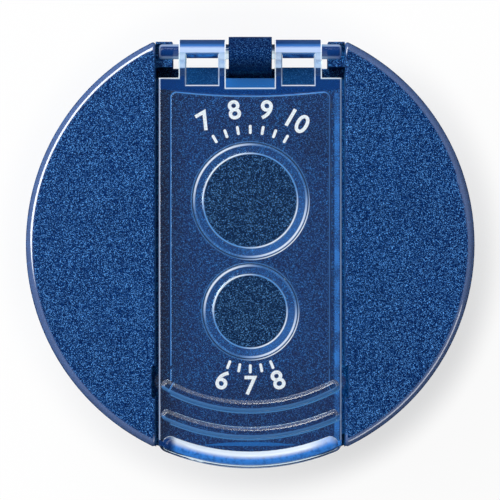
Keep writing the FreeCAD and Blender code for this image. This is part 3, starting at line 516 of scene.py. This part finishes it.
def flake_colour(look, deep, body, flakes, smooth, polished):
    """Cloudy plastic with dark spots, and flakes that thin out where it is smooth or polished."""
    grain = flakes.grain
    cloud = look.noise(CLOUD_SIZE, 1.0, 0.5)
    spots = look.spread(look.cells(1.2 * grain), 0.02, 0.45, 0.1, 1)
    shade = spots * (0.8 * look.cells(grain) + 0.4 * cloud)
    flake = look.spread(look.cells(0.9 * grain), 0.55, 1.0)
    flake = spots * flake * flake * (1 - smooth)
    colour = look.mix(shade * (1 - 0.3 * smooth), opaque(deep), opaque(body))
    return look.mix(flake * (1 - 0.6 * polished), colour, opaque(flakes.glint))


def painted_deck_light_share(look, side, back):
    """How far painted light lies on the deck: on its step before the knuckle, in the lens below the lip,
    and a little on its rear.
    """
    step = (side < NOTCH_HALF) * within(back, NOTCH_Y - DECK_LAP, SHOULDER_Y + DECK_LAP)
    bow = side * side * (1 / LENS_HALF ** 2)
    lens = (back < LENS_REAR - LENS_REAR_BOW * bow) * (back > LENS_FRONT + LENS_FRONT_BOW * bow)
    lit = look.math("MAXIMUM", step, 0.7 * lens)
    return look.math("MAXIMUM", lit, 0.2 * (back > NOTCH_Y))


def flake_plastic(name, deep, body, flakes):
    """Satin moulded plastic with flakes, polished round the drum's top rim with a painted sheen there,
    dull on the knuckle with painted shade on it, and with painted light on the deck.
    """
    look = new_look(name)
    facing = look.facing()
    across, back, height = (look.axis(look.place(), letter) for letter in "XYZ")
    side = abs(across)
    rim = look.spread(look.reach(0), *RIM_START) * (height > RIM_LOW)
    polished = rim * look.spread(facing, 0.4, 0.6) * look.spread(facing, 0.96, 0.992, 1, 0)
    worn = rim * look.spread(facing, 0.2, 0.6, 1, 0)
    on_deck = within(height, DECK_TOP - DECK_LAP, DECK_TOP + DECK_LAP) * (facing > 0.5)
    deck = on_deck * (0.35 + 0.35 * (back > NOTCH_Y) + 0.2 * (back < FRONT_DECK_Y))
    knuckle = (back > KNUCKLE_FRONT) * (side < NOTCH_HALF) * (height > DECK_TOP)
    smooth = look.math("MAXIMUM", deck, knuckle * look.spread(back, *KNUCKLE_GRAIN, 0.55, 0.2))
    # Painted shade on the knuckle: a dark belt across it and a darker rear.
    painted_shade_belt = look.spread(abs(back - KNUCKLE_SHADE_BELT), *KNUCKLE_SHADE_BELT_FADE, 0.2, 0)
    dark = knuckle * (painted_shade_belt + look.spread(back, *KNUCKLE_REAR_SHADE, 0, 0.55))

    colour = flake_colour(look, deep, body, flakes, smooth, polished)
    # Painted sheen: a lighter blue mixed into the polished rim all round.
    colour = look.mix(0.4 * polished, colour, opaque(flakes.rim))
    # Painted shade: the knuckle's belt and rear mixed towards the deep colour.
    colour = look.mix(dark, colour, opaque(deep))
    # Painted light on the deck's step, the lens below the lip and the deck's rear.
    colour = look.mix(on_deck * painted_deck_light_share(look, side, back), colour, opaque(flakes.bright))
    fine = look.noise(0.6 * flakes.grain, 1.0, 0.5)
    satin = look.node("ShaderNodeBsdfPrincipled", None, {
        "Base Color": colour,
        "Roughness": 0.36 + 0.1 * fine + 0.5 * worn,
        "Normal": look.bump(fine, FACE_RELIEF),
        "Specular IOR Level": 0.06,
        "Coat Weight": polished,
        "Coat Roughness": 0.05,
        "Coat IOR": 2.2,
    })
    dull = look.node("ShaderNodeBsdfPrincipled", None, {
        "Base Color": colour,
        "Roughness": 0.5,
        "Specular IOR Level": 0.02,
    })
    return look.end(look.blend(0.85 * knuckle, satin, dull))


class SHARPENER_OT_flake_plastic(bpy.types.Operator):
    """Finish cap, tub and insert in plastic with metallic flakes"""

    bl_idname = "sharpener.flake_plastic"
    bl_label = "Flake plastic"

    def execute(self, context):
        flakes = context.scene.sharpener_flake
        shell = flake_plastic("flake_plastic_shell", flakes.deep, flakes.body, flakes)
        finish_nodes(shell, "head_cap", "tub")
        # Painted light: the insert takes the lighter colour as its body.
        insert = flake_plastic("flake_plastic_insert", flakes.body, flakes.insert_painted_light_body, flakes)
        finish_nodes(insert, "sharpener_insert")
        return {"FINISHED"}


# Clear plastic: the flap

class FlapPlace:
    """Where a point of the flap lies, how its surface leans, and how uneven its plastic is there."""

    def __init__(self, look, clear):
        normal = look.node("ShaderNodeTexCoord").outputs["Normal"]
        self.swaying, self.leaning, self.facing = (look.axis(normal, letter) for letter in "XYZ")
        self.across, self.back, self.height = (look.axis(look.place(), letter) for letter in "XYZ")
        self.side = abs(self.across)
        self.reach = look.reach(0)
        self.on_top = self.height > TOP_FACES
        self.raised = look.spread(self.height, *RAISED_START)
        self.clear_edge = (self.back < 0) * look.spread(self.reach, *LIP_CLEAR_EDGE)
        self.ripple = look.noise(RIPPLE_SIZE, 1.0, 0.4)
        self.spark = look.spread(look.cells(clear.frost_grain), 0.8, 1.0)


# Each layer of the flap's finish is a mask, how solid the plastic looks there, and its colour; most
# layers paint light or shade.

def collar_layers(look, clear, at, middle_y, radius):
    """Frosted disc with painted shade, wall and painted lines of light of a collar; wall and lines are
    painted brightest along the diagonal that leads the light.
    """
    reach = look.reach(middle_y)
    diagonal = look.math("DIVIDE", at.across - at.back + middle_y, math.sqrt(2) * reach)
    both_ends = look.spread(abs(diagonal), 0.45, 1.0)
    front_end = look.spread(diagonal, 0.45, 1.0)
    disc = reach < radius - COLLAR_WALL
    layers = [
        (disc, 0.85, look.mix(at.spark, opaque(clear.frost_and_hole_shade), opaque(clear.spark))),
        ((reach < radius) - disc, 0.08 + 0.22 * front_end, opaque(clear.collar)),
    ]
    for line, lit in ((INNER_LINE, both_ends), (OUTER_LINE, both_ends), (ROOT_LINE, front_end)):
        offset, half_width = line
        gap = abs(reach - (radius + offset))
        ring = at.on_top * look.spread(gap, 0.5 * half_width, 1.3 * half_width, 1, 0)
        colour = look.mix(lit, opaque(clear.painted_dim_edge_light), opaque(clear.painted_highlight))
        layers.append((ring, 0.4 + 0.45 * lit, colour))
    return layers


def ridge_layer(look, clear, at, radius):
    """The painted band of light in front of a grip ridge, pale along its front."""
    ahead = look.reach(RIDGE_CENTRE_Y) - radius
    band = look.spread(ahead, *RIDGE_LIGHT_START) * look.spread(ahead, *RIDGE_LIGHT_END, 1, 0)
    band = band * at.on_top * (at.back < 0) * look.spread(at.across, *RIDGE_LEFT_END)
    front = look.spread(ahead, *RIDGE_LIGHT_FRONT)
    return band, 0.5, look.mix(front, opaque(clear.ridge), opaque(clear.spark))


def rib_layers(look, clear, at):
    """Painted light over the right rib and before the grip ridges, and thick plastic over the rear rib.
    """
    right = look.spread(at.across, *RIB_LIGHT_START) * (at.across < RIB_LIGHT_END)
    right = right * at.on_top * (1 - at.raised) * within(at.back, *RIB_LIGHT_Y)
    right_share = look.spread(at.ripple, 0.3, 0.7, 0.15, 0.5) + 0.15 * at.spark
    rear = look.reach(REAR_RIB_CENTRE_Y) < REAR_RIB_RADIUS
    rear = rear * (at.back < SHOULDER_Y + DECK_LAP) * at.on_top
    return [
        (right, right_share, opaque(clear.edge_light)),
        *(ridge_layer(look, clear, at, radius) for radius in RIDGE_RADII),
        (rear, 0.7, opaque(clear.rear_rib)),
    ]


def hinge_layers(look, clear, at):
    """Hinge arms with a stretch of painted pale light, their rolled rear edge that darkens to the rear,
    and the stub pins with painted highlight outlines.
    """
    arms = within(at.side, NOTCH_HALF, ARM_OUTER)
    windows = within(at.side, WINDOW_INNER, WINDOW_OUTER)
    pale = arms * (1 - windows) * within(at.back, *PALE_ARM)
    roll = look.mix(look.spread(at.back, *ROLL_BLUE), opaque(clear.painted_arm_light), opaque(clear.roll))
    roll = look.mix(look.spread(at.back, *ROLL_DARK), roll, opaque(clear.roll_edge_and_shade))
    pins = (at.side > ARM_OUTER) * (at.back > PIN_FRONT)
    steep = look.spread(at.facing, 0.6, 0.85, 1, 0)
    end = look.spread(abs(at.swaying), 0.4, 0.7)
    outline = look.math("MAXIMUM", steep, end)
    return [
        (pale, 0.45, opaque(clear.painted_arm_light)),
        (arms * look.spread(at.back, *ROLL_START), 0.9, roll),
        (pins, 0.75 - 0.2 * outline, look.mix(outline, opaque(clear.rear_rib), opaque(clear.painted_arm_light))),
    ]


def edge_layers(look, clear, at):
    """Rounded edges with painted light: a pale painted highlight on top where they lean to the rear and
    blue where they lean to the front, painted blue light on the roots of the ribs and painted shade on
    their lower edges.
    """
    hinge_end = within(at.back, *HINGE_END_Y) * (at.height > HINGE_END_LOW)
    plate = look.math("MAXIMUM", at.back < SHOULDER_Y, hinge_end)
    from_jumbo = look.reach(JUMBO_HOLE_Y) - JUMBO_COLLAR
    from_standard = look.reach(STANDARD_HOLE_Y) - STANDARD_COLLAR
    off_collars = look.math("MINIMUM", from_jumbo, from_standard) > COLLAR_ROOM
    rounded = plate * look.spread(at.facing, 0.15, 0.35) * look.spread(at.facing, 0.9, 0.985, 1, 0)
    rounded = rounded * off_collars * (1 - at.clear_edge)
    rear = look.spread(at.leaning, -0.2, 0.2)
    faint = 1 - at.raised * rear * (0.85 - 0.5 * at.spark)
    below = rounded * (at.height < RIB_TOP)
    root = at.height > RIB_ROOT_LOW
    return [
        (rounded, 0.6 * faint, look.mix(rear, opaque(clear.painted_dim_edge_light), opaque(clear.painted_edge_highlight))),
        (below, 0.85, look.mix(root, opaque(clear.roll_edge_and_shade), opaque(clear.rib))),
    ]


def lip_layer(look, clear, at):
    """Lip: a pale painted highlight behind, streaked blue in front, painted shade at its left end, and
    clear along its outer edge.
    """
    bulge = look.math("MAXIMUM", at.raised, at.reach > LIP_FRONT)
    lip = (at.back < 0) * look.spread(at.reach, *LIP_START) * bulge * look.spread(at.facing, 0.0, 0.2)
    lit = look.spread(at.leaning, -0.1, 0.55) * look.spread(at.across, *LIP_DIM_END, 1, 0.35)
    streak = look.spread(look.noise(STREAK_SIZE), 0.25, 0.6)
    front = look.mix(streak, opaque(clear.roll), opaque(clear.lip_front))
    colour = look.mix(lit, front, opaque(clear.painted_highlight))
    colour = look.mix(look.spread(at.across, *LIP_DARK_END, 1, 0), colour, opaque(clear.roll_edge_and_shade))
    return lip * (1 - at.clear_edge), 0.8, colour


def cut_edge_layer(look, clear, at):
    """Painted highlight lines along the sharp cut edges of the shoulders, the knuckle notch and the hinge
    arms.
    """
    side, back = at.side, at.back
    shoulders = within(back, SHOULDER_Y - CUT_LINE, SHOULDER_Y) * (side > ARM_OUTER - CUT_LINE)
    notch = within(back, NOTCH_Y - CUT_LINE, NOTCH_Y) * (side < NOTCH_HALF + CUT_LINE)
    notch_sides = within(side, NOTCH_HALF, NOTCH_HALF + CUT_LINE) * (back > NOTCH_Y)
    arm_sides = within(side, ARM_OUTER - CUT_LINE, ARM_OUTER) * (back > SHOULDER_Y)
    lines = look.math("MINIMUM", shoulders + notch + notch_sides + arm_sides, 1.0)
    return lines, 0.55, opaque(clear.painted_edge_highlight)


def clear_plastic(clear):
    """Polished clear plastic, solid in part where it is frosted or thick, and where light and shade are
    painted on it.
    """
    look = new_look("clear_blue_plastic")
    at = FlapPlace(look, clear)
    layers = [
        *collar_layers(look, clear, at, JUMBO_HOLE_Y, JUMBO_COLLAR),
        *collar_layers(look, clear, at, STANDARD_HOLE_Y, STANDARD_COLLAR),
        *rib_layers(look, clear, at),
        *hinge_layers(look, clear, at),
        *edge_layers(look, clear, at),
        lip_layer(look, clear, at),
        cut_edge_layer(look, clear, at),
    ]
    colour, solid = opaque(clear.frost_and_hole_shade), 0.0
    for mask, share, shade in layers:
        colour = look.mix(mask, colour, shade)
        solid = look.math("MAXIMUM", solid, mask * share)
    dense = look.node("ShaderNodeBsdfPrincipled", None, {
        "Base Color": colour,
        "Roughness": 0.35 + 0.2 * at.spark,
        "Specular IOR Level": 0.1,
    })
    glass = look.node("ShaderNodeBsdfPrincipled", None, {
        "Base Color": opaque(clear.tint),
        "Roughness": clear.haze + 0.01 * at.ripple,
        "Normal": look.bump(at.ripple, FACE_RELIEF),
        "IOR": 1.5,
        "Transmission Weight": 1.0,
    })
    passing = look.node("ShaderNodeBsdfTransparent", None, {"Color": opaque(clear.shade)})
    path = look.node("ShaderNodeLightPath").outputs
    unseen = look.math("MAXIMUM", path["Is Shadow Ray"], path["Is Diffuse Ray"])
    return look.end(look.blend(unseen, look.blend(solid, glass, dense), passing))


class SHARPENER_OT_clear_plastic(bpy.types.Operator):
    """Finish the flap in clear blue plastic"""

    bl_idname = "sharpener.clear_plastic"
    bl_label = "Clear plastic"

    def execute(self, context):
        finish_nodes(clear_plastic(context.scene.sharpener_clear), "cover_flap")
        return {"FINISHED"}


# Round front of the flap's hinge barrel: its room beside and behind it, and how round it is

BARREL_GAP = 0.05 * MM
BARREL_REAR_GAP = 0.02 * MM
BARREL_ROUNDING = 0.7
BARREL_SMOOTH_ANGLE = math.radians(35)


def barrel_plastic(barrel):
    """The clear plastic where it is thick enough to look deep blue."""
    look = new_look("deep_blue_plastic")
    ripple = look.noise(BARREL_RIPPLE_SIZE, 2.0, 0.5)
    colour = look.mix(look.spread(ripple, 0.35, 0.65), opaque(barrel.deep), opaque(barrel.light))
    shader = look.node("ShaderNodeBsdfPrincipled", None, {
        "Base Color": colour,
        "Roughness": 0.15 + 0.15 * ripple,
        "Normal": look.bump(ripple, BARREL_RELIEF),
        "Specular IOR Level": 0.3,
    })
    return look.end(shader)


def add_barrel_side(name, middle, barrel, material):
    """The round front of the hinge barrel, below the rear edge of a window."""
    width = WINDOW_OUTER - WINDOW_INNER - 2 * BARREL_GAP
    piece = add_block((width, barrel.depth, barrel.height))
    piece.name = name

    def runs_along_front(start, end):
        return max(start.y, end.y) < 0 and abs(start.x - end.x) > width / 2

    round_edges(piece, runs_along_front, BARREL_ROUNDING * barrel.depth, 6)
    piece.location = (middle, WINDOW_Y - barrel.depth / 2 - BARREL_REAR_GAP, HINGE_Z)
    bpy.ops.object.transform_apply(location=True, rotation=False, scale=False)
    bpy.ops.object.shade_smooth_by_angle(angle=BARREL_SMOOTH_ANGLE)
    piece.data.materials.append(material)
    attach(piece, "flap")


class SHARPENER_OT_barrel_sides(bpy.types.Operator):
    """Round the front of the hinge barrel below both windows"""

    bl_idname = "sharpener.barrel_sides"
    bl_label = "Barrel sides"

    def execute(self, context):
        barrel = context.scene.sharpener_barrel
        material = barrel_plastic(barrel)
        middle = (WINDOW_INNER + WINDOW_OUTER) / 2
        add_barrel_side("left_barrel_side", -middle, barrel, material)
        add_barrel_side("right_barrel_side", middle, barrel, material)
        return {"FINISHED"}


# Steel: blades and screws, with the size of their grinding lines

BLADE_GRAIN = 0.12 * MM
BLADE_LAY = (1, 1, 0.08)
SCREW_GRAIN = 0.25 * MM
SCREW_LAY = (1, 1, 1)


def ground_steel(name, colour, grain, lay):
    """Steel with fine grinding lines, drawn out along the axes that the lay makes small."""
    look = new_look(name)
    stretched = look.node("ShaderNodeMapping", None, {"Vector": look.place(), "Scale": lay})
    sockets = {"Vector": stretched.outputs[0], "Scale": 1 / grain, "Detail": 3.0, "Roughness": 0.6}
    lines = Value(look, look.node("ShaderNodeTexNoise", None, sockets).outputs["Fac"])
    stain = look.noise(STAIN_SIZE)
    clean = look.spread(0.7 * lines + 0.3 * stain, 0.35, 0.65)
    shader = look.node("ShaderNodeBsdfPrincipled", None, {
        "Base Color": look.mix(clean, opaque(dulled(colour)), opaque(colour)),
        "Roughness": 0.2 + 0.22 * lines,
        "Normal": look.bump(lines, STEEL_RELIEF),
        "Metallic": 1.0,
    })
    return look.end(shader)


class SHARPENER_OT_steel(bpy.types.Operator):
    """Finish the blades in ground steel and the screws in zinc-coated steel"""

    bl_idname = "sharpener.steel"
    bl_label = "Steel"

    def execute(self, context):
        steel = context.scene.sharpener_steel
        blade = ground_steel("ground_blade_steel", steel.blade, BLADE_GRAIN, BLADE_LAY)
        finish_nodes(blade, "blade_standard", "blade_jumbo")
        screw = ground_steel("zinc_screw_steel", steel.screw, SCREW_GRAIN, SCREW_LAY)
        finish_nodes(screw, "blade_screw_standard", "blade_screw_jumbo")
        return {"FINISHED"}


# Printed gauge marks on the flap: their shape, and where they stand by each hole

NUMBER_SHARE = 0.73
NUMBER_SWELL = 0.06 * MM
TICK_WIDTH = 0.34 * MM
TICK_LENGTH = 1.1 * MM
TICK_ROUNDING = 0.16 * MM
MERGE_DISTANCE = 0.001 * MM
JUMBO_NUMBERS = JUMBO_COLLAR + 4 * MM
JUMBO_TICKS = JUMBO_COLLAR + 1.6 * MM
JUMBO_STEP = 20
STANDARD_NUMBERS = STANDARD_COLLAR + 3.3 * MM
STANDARD_TICKS = STANDARD_COLLAR + 1.2 * MM
STANDARD_STEP = 22
BEHIND, IN_FRONT = 1, -1


def print_ink(ink):
    """Screen-print ink, a little uneven where it lies thin."""
    look = new_look("print_ink")
    speck = look.noise(SPECK_SIZE, 2.0, 0.7)
    colour = look.mix(look.spread(speck, 0.3, 0.55), opaque(dulled(ink)), opaque(ink))
    shader = look.node("ShaderNodeBsdfPrincipled", None, {
        "Base Color": colour,
        "Roughness": 0.45 + 0.2 * speck,
        "Normal": look.bump(speck, FACE_RELIEF),
    })
    return look.end(shader)


def gauge_place(middle_y, radius, angle, towards):
    """A point on an arc behind or in front of a hole, with the angle counted to the right."""
    turn = math.radians(angle)
    return Vector((radius * math.sin(turn), middle_y + towards * radius * math.cos(turn), PANEL_TOP))


def lay_on_panel(piece, place, turn, marks):
    """Move a printed piece from the origin to the panel's top."""
    piece.location = place + Vector((0, 0, marks.thickness / 2))
    piece.rotation_euler.z = -math.radians(turn)
    bpy.ops.object.transform_apply(location=True, rotation=True, scale=True)
    return piece


def add_number(body, place, turn, marks):
    """A printed number that lies on the panel."""
    bpy.ops.object.select_all(action="DESELECT")
    bpy.ops.object.text_add()
    number = bpy.context.object
    number.data.body = body
    number.data.size = marks.height / NUMBER_SHARE
    number.data.align_x = "CENTER"
    number.data.align_y = "CENTER"
    number.data.offset = NUMBER_SWELL
    number.data.extrude = marks.thickness / 2
    bpy.ops.object.convert(target="MESH")
    return lay_on_panel(number, place, turn, marks)


def add_tick(place, turn, marks):
    """A short printed bar with round ends that points away from the hole."""
    tick = add_block((TICK_WIDTH, TICK_LENGTH, marks.thickness))

    def runs_upright(start, end):
        return abs(start.z - end.z) > marks.thickness / 2

    round_edges(tick, runs_upright, TICK_ROUNDING, 5)
    return lay_on_panel(tick, place, turn, marks)


def join_print(parts, name, material):
    """Join printed parts into one piece that rides on the flap."""
    bpy.ops.object.select_all(action="DESELECT")
    for part in parts:
        part.select_set(True)
    bpy.context.view_layer.objects.active = parts[0]
    bpy.ops.object.join()
    piece = bpy.context.object
    piece.name = name
    bpy.ops.object.mode_set(mode="EDIT")
    bpy.ops.mesh.select_all(action="SELECT")
    bpy.ops.mesh.remove_doubles(threshold=MERGE_DISTANCE)
    bpy.ops.mesh.normals_make_consistent(inside=False)
    bpy.ops.object.mode_set(mode="OBJECT")
    piece.data.materials.clear()
    piece.data.materials.append(material)
    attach(piece, "flap")


def print_gauge(name, numbers, middle_y, number_radius, tick_radius, step, towards, marks, material):
    """Numbers on an arc behind or in front of a hole, with a tick for each and one between."""
    words = numbers.split()
    first = -step * (len(words) - 1) / 2
    parts = []
    for index, word in enumerate(words):
        angle = first + index * step
        place = gauge_place(middle_y, number_radius, angle, towards)
        parts.append(add_number(word, place, towards * angle, marks))
    for index in range(2 * len(words) - 1):
        angle = first + index * step / 2
        place = gauge_place(middle_y, tick_radius, angle, towards)
        parts.append(add_tick(place, towards * angle, marks))
    join_print(parts, name, material)


class SHARPENER_OT_gauge_marks(bpy.types.Operator):
    """Print the pencil sizes by both holes on the flap"""

    bl_idname = "sharpener.gauge_marks"
    bl_label = "Gauge marks"

    def execute(self, context):
        marks = context.scene.sharpener_marks
        material = print_ink(marks.ink)
        print_gauge("jumbo_gauge_print", marks.jumbo_numbers, JUMBO_HOLE_Y,
                    JUMBO_NUMBERS, JUMBO_TICKS, JUMBO_STEP, BEHIND, marks, material)
        print_gauge("standard_gauge_print", marks.standard_numbers, STANDARD_HOLE_Y,
                    STANDARD_NUMBERS, STANDARD_TICKS, STANDARD_STEP, IN_FRONT, marks, material)
        return {"FINISHED"}


# Stage: floor, world, lamps and camera

FLOOR_WIDTH = 6
FLOOR_DROP = 0.05 * MM
HALO_REACH = (DRUM_RADIUS + 3 * MM, DRUM_RADIUS + 8 * MM)
ROOM_LIGHT = (0.1, 0.22)
LAMP_DISTANCE = 0.5
KEY_SIZE = (0.7, 0.24)
KEY_ANGLES = (137, 47)
FILL_SIZE = (0.4, 0.15)
FILL_ANGLES = (320, 24)
VIEW_MIDDLE = (-0.03 * MM, -0.69 * MM)
SENSOR_WIDTH = 36
NEAREST_VIEW = 10 * MM


def seen_ray(look):
    """1 for rays that show the background, straight or through clear plastic."""
    path = look.node("ShaderNodeLightPath").outputs
    return look.math("MAXIMUM", path["Is Camera Ray"], path["Is Transmission Ray"])


def add_floor(stage):
    """A pale floor with the drum's shadow, whiter away from the drum and dim where gloss shows it."""
    bpy.ops.object.select_all(action="DESELECT")
    bpy.ops.mesh.primitive_plane_add(size=FLOOR_WIDTH, location=(0, 0, -FLOOR_DROP))
    floor = bpy.context.object
    floor.name = "studio_floor"
    look = new_look("studio_floor")
    gloss = look.node("ShaderNodeLightPath").outputs["Is Glossy Ray"]
    paper = look.node("ShaderNodeBsdfDiffuse", None, {"Color": opaque(stage.floor)})
    mirrored = look.node("ShaderNodeBsdfDiffuse", None, {"Color": opaque(stage.mirrored)})
    white = look.node("ShaderNodeEmission", None, {"Color": (1, 1, 1, 1), "Strength": 1.0})
    share = look.spread(look.reach(0), *HALO_REACH, stage.halo, stage.whiteness) * seen_ray(look)
    floor.data.materials.append(look.end(look.blend(share, look.blend(gloss, paper, mirrored), white)))


def light_world(scene):
    """A dim soft room, brighter overhead than at the horizon, seen as white by the camera."""
    world = scene.world or bpy.data.worlds.new("studio")
    scene.world = world
    look = Look(world)
    up = look.axis(look.node("ShaderNodeTexCoord").outputs["Generated"], "Z")
    room = look.spread(up, 0.0, 0.6, *ROOM_LIGHT)
    shown = Value(look, look.node("ShaderNodeLightPath").outputs["Is Camera Ray"])
    strength = room + shown * (1 - room)
    sky = look.node("ShaderNodeBackground", None, {"Color": (1, 1, 1, 1), "Strength": strength})
    look.end(sky)


def add_lamp(name, angles, size, power):
    """A rectangular lamp that faces the drum; its azimuth counts from the right towards the hinge."""
    bpy.ops.object.light_add(type="AREA")
    lamp = bpy.context.object
    lamp.name = name
    lamp.data.shape = "RECTANGLE"
    lamp.data.size, lamp.data.size_y = size
    lamp.data.energy = power
    turn, rise = (math.radians(angle) for angle in angles)
    away = Vector((math.cos(turn) * math.cos(rise), math.sin(turn) * math.cos(rise), math.sin(rise)))
    lamp.location = Vector((0, 0, DRUM_TOP)) + away * LAMP_DISTANCE
    lamp.rotation_euler = away.to_track_quat("Z", "Y").to_euler()
    lamp.visible_camera = False


def add_camera(scene, stage):
    """A camera straight above the drum that shows the set width at the drum's top."""
    place = (*VIEW_MIDDLE, DRUM_TOP + stage.camera_height)
    bpy.ops.object.camera_add(location=place, rotation=(0, 0, 0))
    camera = bpy.context.object
    camera.name = "studio_camera"
    camera.data.sensor_width = SENSOR_WIDTH
    camera.data.lens = SENSOR_WIDTH * stage.camera_height / stage.view_width
    camera.data.clip_start = NEAREST_VIEW
    scene.camera = camera


class SHARPENER_OT_stage(bpy.types.Operator):
    """Set up the floor, the soft light and the camera"""

    bl_idname = "sharpener.stage"
    bl_label = "Stage"

    def execute(self, context):
        scene = context.scene
        stage = scene.sharpener_stage
        add_floor(stage)
        light_world(scene)
        add_lamp("key_softbox", KEY_ANGLES, KEY_SIZE, stage.key)
        add_lamp("low_fill", FILL_ANGLES, FILL_SIZE, stage.fill)
        add_camera(scene, stage)
        scene.view_settings.view_transform = "Standard"
        return {"FINISHED"}


# Panel and registration

OPERATORS = [
    SHARPENER_OT_flake_plastic,
    SHARPENER_OT_clear_plastic,
    SHARPENER_OT_barrel_sides,
    SHARPENER_OT_steel,
    SHARPENER_OT_gauge_marks,
    SHARPENER_OT_stage,
]


class SHARPENER_PT_sidebar(bpy.types.Panel):
    """Lists the sharpener's settings and the operators that use them"""

    bl_idname = "SHARPENER_PT_sidebar"
    bl_label = "Tub Sharpener"
    bl_space_type = "VIEW_3D"
    bl_region_type = "UI"
    bl_category = "Sharpener"

    def draw(self, context):
        for (group, kind), operator in zip(SETTINGS.items(), OPERATORS):
            box = self.layout.box()
            settings = getattr(context.scene, group)
            for setting in kind.__annotations__:
                box.prop(settings, setting)
            box.operator(operator.bl_idname)


CLASSES = [*SETTINGS.values(), *OPERATORS, SHARPENER_PT_sidebar]


def register():
    for kind in CLASSES:
        bpy.utils.register_class(kind)
    for group, kind in SETTINGS.items():
        setattr(bpy.types.Scene, group, PointerProperty(type=kind))


def unregister():
    for group in SETTINGS:
        delattr(bpy.types.Scene, group)
    for kind in reversed(CLASSES):
        bpy.utils.unregister_class(kind)


def main():
    register()
    bpy.ops.sharpener.flake_plastic()
    bpy.ops.sharpener.clear_plastic()
    bpy.ops.sharpener.barrel_sides()
    bpy.ops.sharpener.steel()
    bpy.ops.sharpener.gauge_marks()
    bpy.ops.sharpener.stage()


if __name__ == "__main__":
    main()
